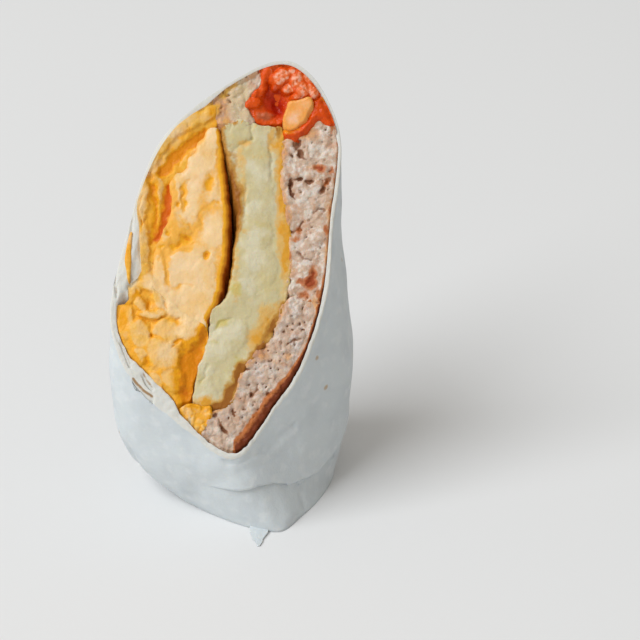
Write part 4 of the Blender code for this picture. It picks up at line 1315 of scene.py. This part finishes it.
# %% Chicken
fried_chicken = food(  # chopped meat, fried: grey-pink and cream mottle, brown crust, shade painted in its pores
    "fried_chicken_cut", "#C8AC96",
    [
        ("#DCCFC2", 0.85, 2.6, 0.46, 0.62),
        ("#C0906F", 0.6, 3.2, 0.52, 0.66, 0.0, 0.2),
        ("#DAA26C", 0.85, "warm", 0.25, 0.95, 0.6),
        ("#CCB48C", 0.85, "cream", 0.2, 0.8, 0.6),
        ("#D8CFC8", 0.75, "pale", 0.2, 1.0, 0.9),
        ("#E2D6CA", 0.35, 1.3, 0.52, 0.66),
        # painted shade over the lower part
        ("#93684E", 0.5, "low", 0.8, 1.6, 3.0),
        ("#A9765C", 0.5, "warm", 0.9, 1.5, 2.4),
        # painted shade in the pores, pits and cracks
        ("#7C4826", 0.9, "pit_shade", 0.3, 0.85, 0.3),
        ("#DAA244", 0.95, "egg", 0.2, 0.7, 0.4),
        ("#B86A30", 0.95, "crust", 0.1, 0.4, 0.6),
        ("#6C2A0A", 0.95, "crust", 0.6, 0.95, 0.5),
        ("#BC6E3A", 0.9, "sauce", 0.15, 0.6, 0.6),
        ("#96390C", 0.9, "sauce", 0.6, 1.05, 0.5),
    ],
    [(1.6, 0.2), (0.5, 0.1)], 0.55, (0.4, 2.0, 0.42, 0.7), 0.15,
)
for node, piece in chicken.items():
    finish_piece(piece, fried_chicken, "chicken", node)

# %% Salsa and pepper
tomato = food(  # chopped tomato in its juice: wet, so small bright lights sit on every lump; pale highlights are painted on the chunks too
    "tomato_salsa", "#DC5008",
    [
        # paler orange on the chunks, then pale speckles painted on them as highlights
        ("#E87E48", 0.75, "chunk_and_highlight", 0.5, 1.1, 0.6),
        ("#F2BCA2", 0.65, "chunk_and_highlight", 0.85, 1.35, 2.6),
        # painted shade in the hollow
        ("#C23406", 0.95, "shade_depth", 0.1, 0.5, 0.3),
        ("#A81C04", 0.9, "shade_depth", 0.5, 0.95, 0.3),
        ("#B4603C", 0.8, "brown", 0.3, 0.9, 0.5),
    ],
    [(1.6, 0.2), (0.5, 0.08)], 0.3, (0.18, 2.0, 0.42, 0.7), 0.08, "#FF5030",
)
soft_pepper = food(  # cooked pepper flesh: smooth and wet, paler where it is thick
    "cooked_pepper", "#D84C04",
    [("#E68C18", 0.95, "pale", 0.3, 0.9, 0.4), ("#BE3C04", 0.7, 2.5, 0.48, 0.66)],
    [(1.8, 0.2), (0.5, 0.06)], 0.3, (0.16, 2.0, 0.4, 0.7), 0.15, "#FF6030",
)
diced_pepper = food(
    "diced_pepper", "#EAA050",
    [("#F2C8A8", 0.8, "pale", 0.2, 1.1, 0.6), ("#EA9A40", 0.6, 2.5, 0.48, 0.68)],
    [(1.8, 0.15), (0.5, 0.05)], 0.32, (0.2, 2.0, 0.4, 0.7), 0.2, "#FF9060",
)
finish_piece(chopped_tomato, tomato, "salsa", "salsa")
finish_piece(strip_of_pepper, soft_pepper, "pepper", "pepper_strip")
finish_piece(square_of_pepper, diced_pepper, "pepper", "pepper_dice")

# %% [markdown]
# ## Flour tortilla as a surface
# Wheat dough, rolled thin and baked dry: matt, off-white and floury, a little see-through,
# with soft mottling and a few toasted flecks. Its grain is finer than the picture can show,
# so it is drawn at 0.8 mm.

# %% Tortilla
dough = food(
    "flour_tortilla", "#CED4D6",
    [
        ("#C5CBCE", 0.7, 9.0, 0.42, 0.68),
        ("#D8DCDD", 0.6, 4.0, 0.5, 0.7, 0.0, 0.2),
        ("#D6D4CC", 0.9, "rim", 0.3, 0.9),
        ("#B89A74", 0.8, "fleck", 0.35, 0.95, 0.6),
        ("#96703F", 0.9, "toast", 0.35, 0.9, 0.5),
    ],
    [(6.0, 0.2), (0.8, 0.05)], 0.75, None, 0.12, "#FFD8B0",
)
finish_piece(rolled_tortilla, dough, "tortilla", "tortilla")
finish_piece(torn_flake, dough, "tortilla")

# %% [markdown]
# ## Floor, light and camera
# A plain pale floor and a large soft light from the upper left, as from a window, give the
# bright picture and the cool, shaded right side. The camera is far off with a long lens and
# looks down by 30 degrees, so the cut face is seen square on.

# %% The set
bpy.ops.object.select_all(action="DESELECT")
bpy.ops.mesh.primitive_plane_add(size=6.0, location=(0.0, 0.0, 0.0))
floor = bpy.context.object
floor.name = "floor"
paper = bpy.data.materials.new("matt_white_board")
paper.use_nodes = True
paper.node_tree.nodes["Principled BSDF"].inputs["Base Color"].default_value = linear("#E2E2E2")
paper.node_tree.nodes["Principled BSDF"].inputs["Roughness"].default_value = 0.9
floor.data.materials.append(paper)

SKY_STRENGTH = 0.455
world = bpy.data.worlds.new("studio")
bpy.context.scene.world = world
world.use_nodes = True
world.node_tree.nodes["Background"].inputs["Color"].default_value = linear("#FFFBF4")
world.node_tree.nodes["Background"].inputs["Strength"].default_value = SKY_STRENGTH

MIDDLE = Vector((0.0, 0.0, 0.06))  # the lamp is aimed at the middle of the wrap
WINDOW_PLACE = Vector((-2.38, -1.24, 3.06))
WINDOW_WIDTH, WINDOW_WATTS = 2.8, 146.0
bpy.ops.object.light_add(type="AREA", location=WINDOW_PLACE)
window = bpy.context.object
window.name = "window"
window.data.size = WINDOW_WIDTH
window.data.energy = WINDOW_WATTS
window.data.color = linear("#F7FBFF")[:3]
window.rotation_euler = (WINDOW_PLACE - MIDDLE).to_track_quat("Z", "Y").to_euler()

CAMERA_PLACE = (0.02655, -0.5330, 0.3652)
CAMERA_TILT = math.radians(60.0)  # from straight down
LENS, SENSOR = 116.9, 36.0
bpy.ops.object.camera_add(location=CAMERA_PLACE, rotation=(CAMERA_TILT, 0.0, 0.0))
camera = bpy.context.object
camera.data.lens = LENS
camera.data.sensor_width = SENSOR
bpy.context.scene.camera = camera
bpy.context.scene.view_settings.view_transform = "Standard"
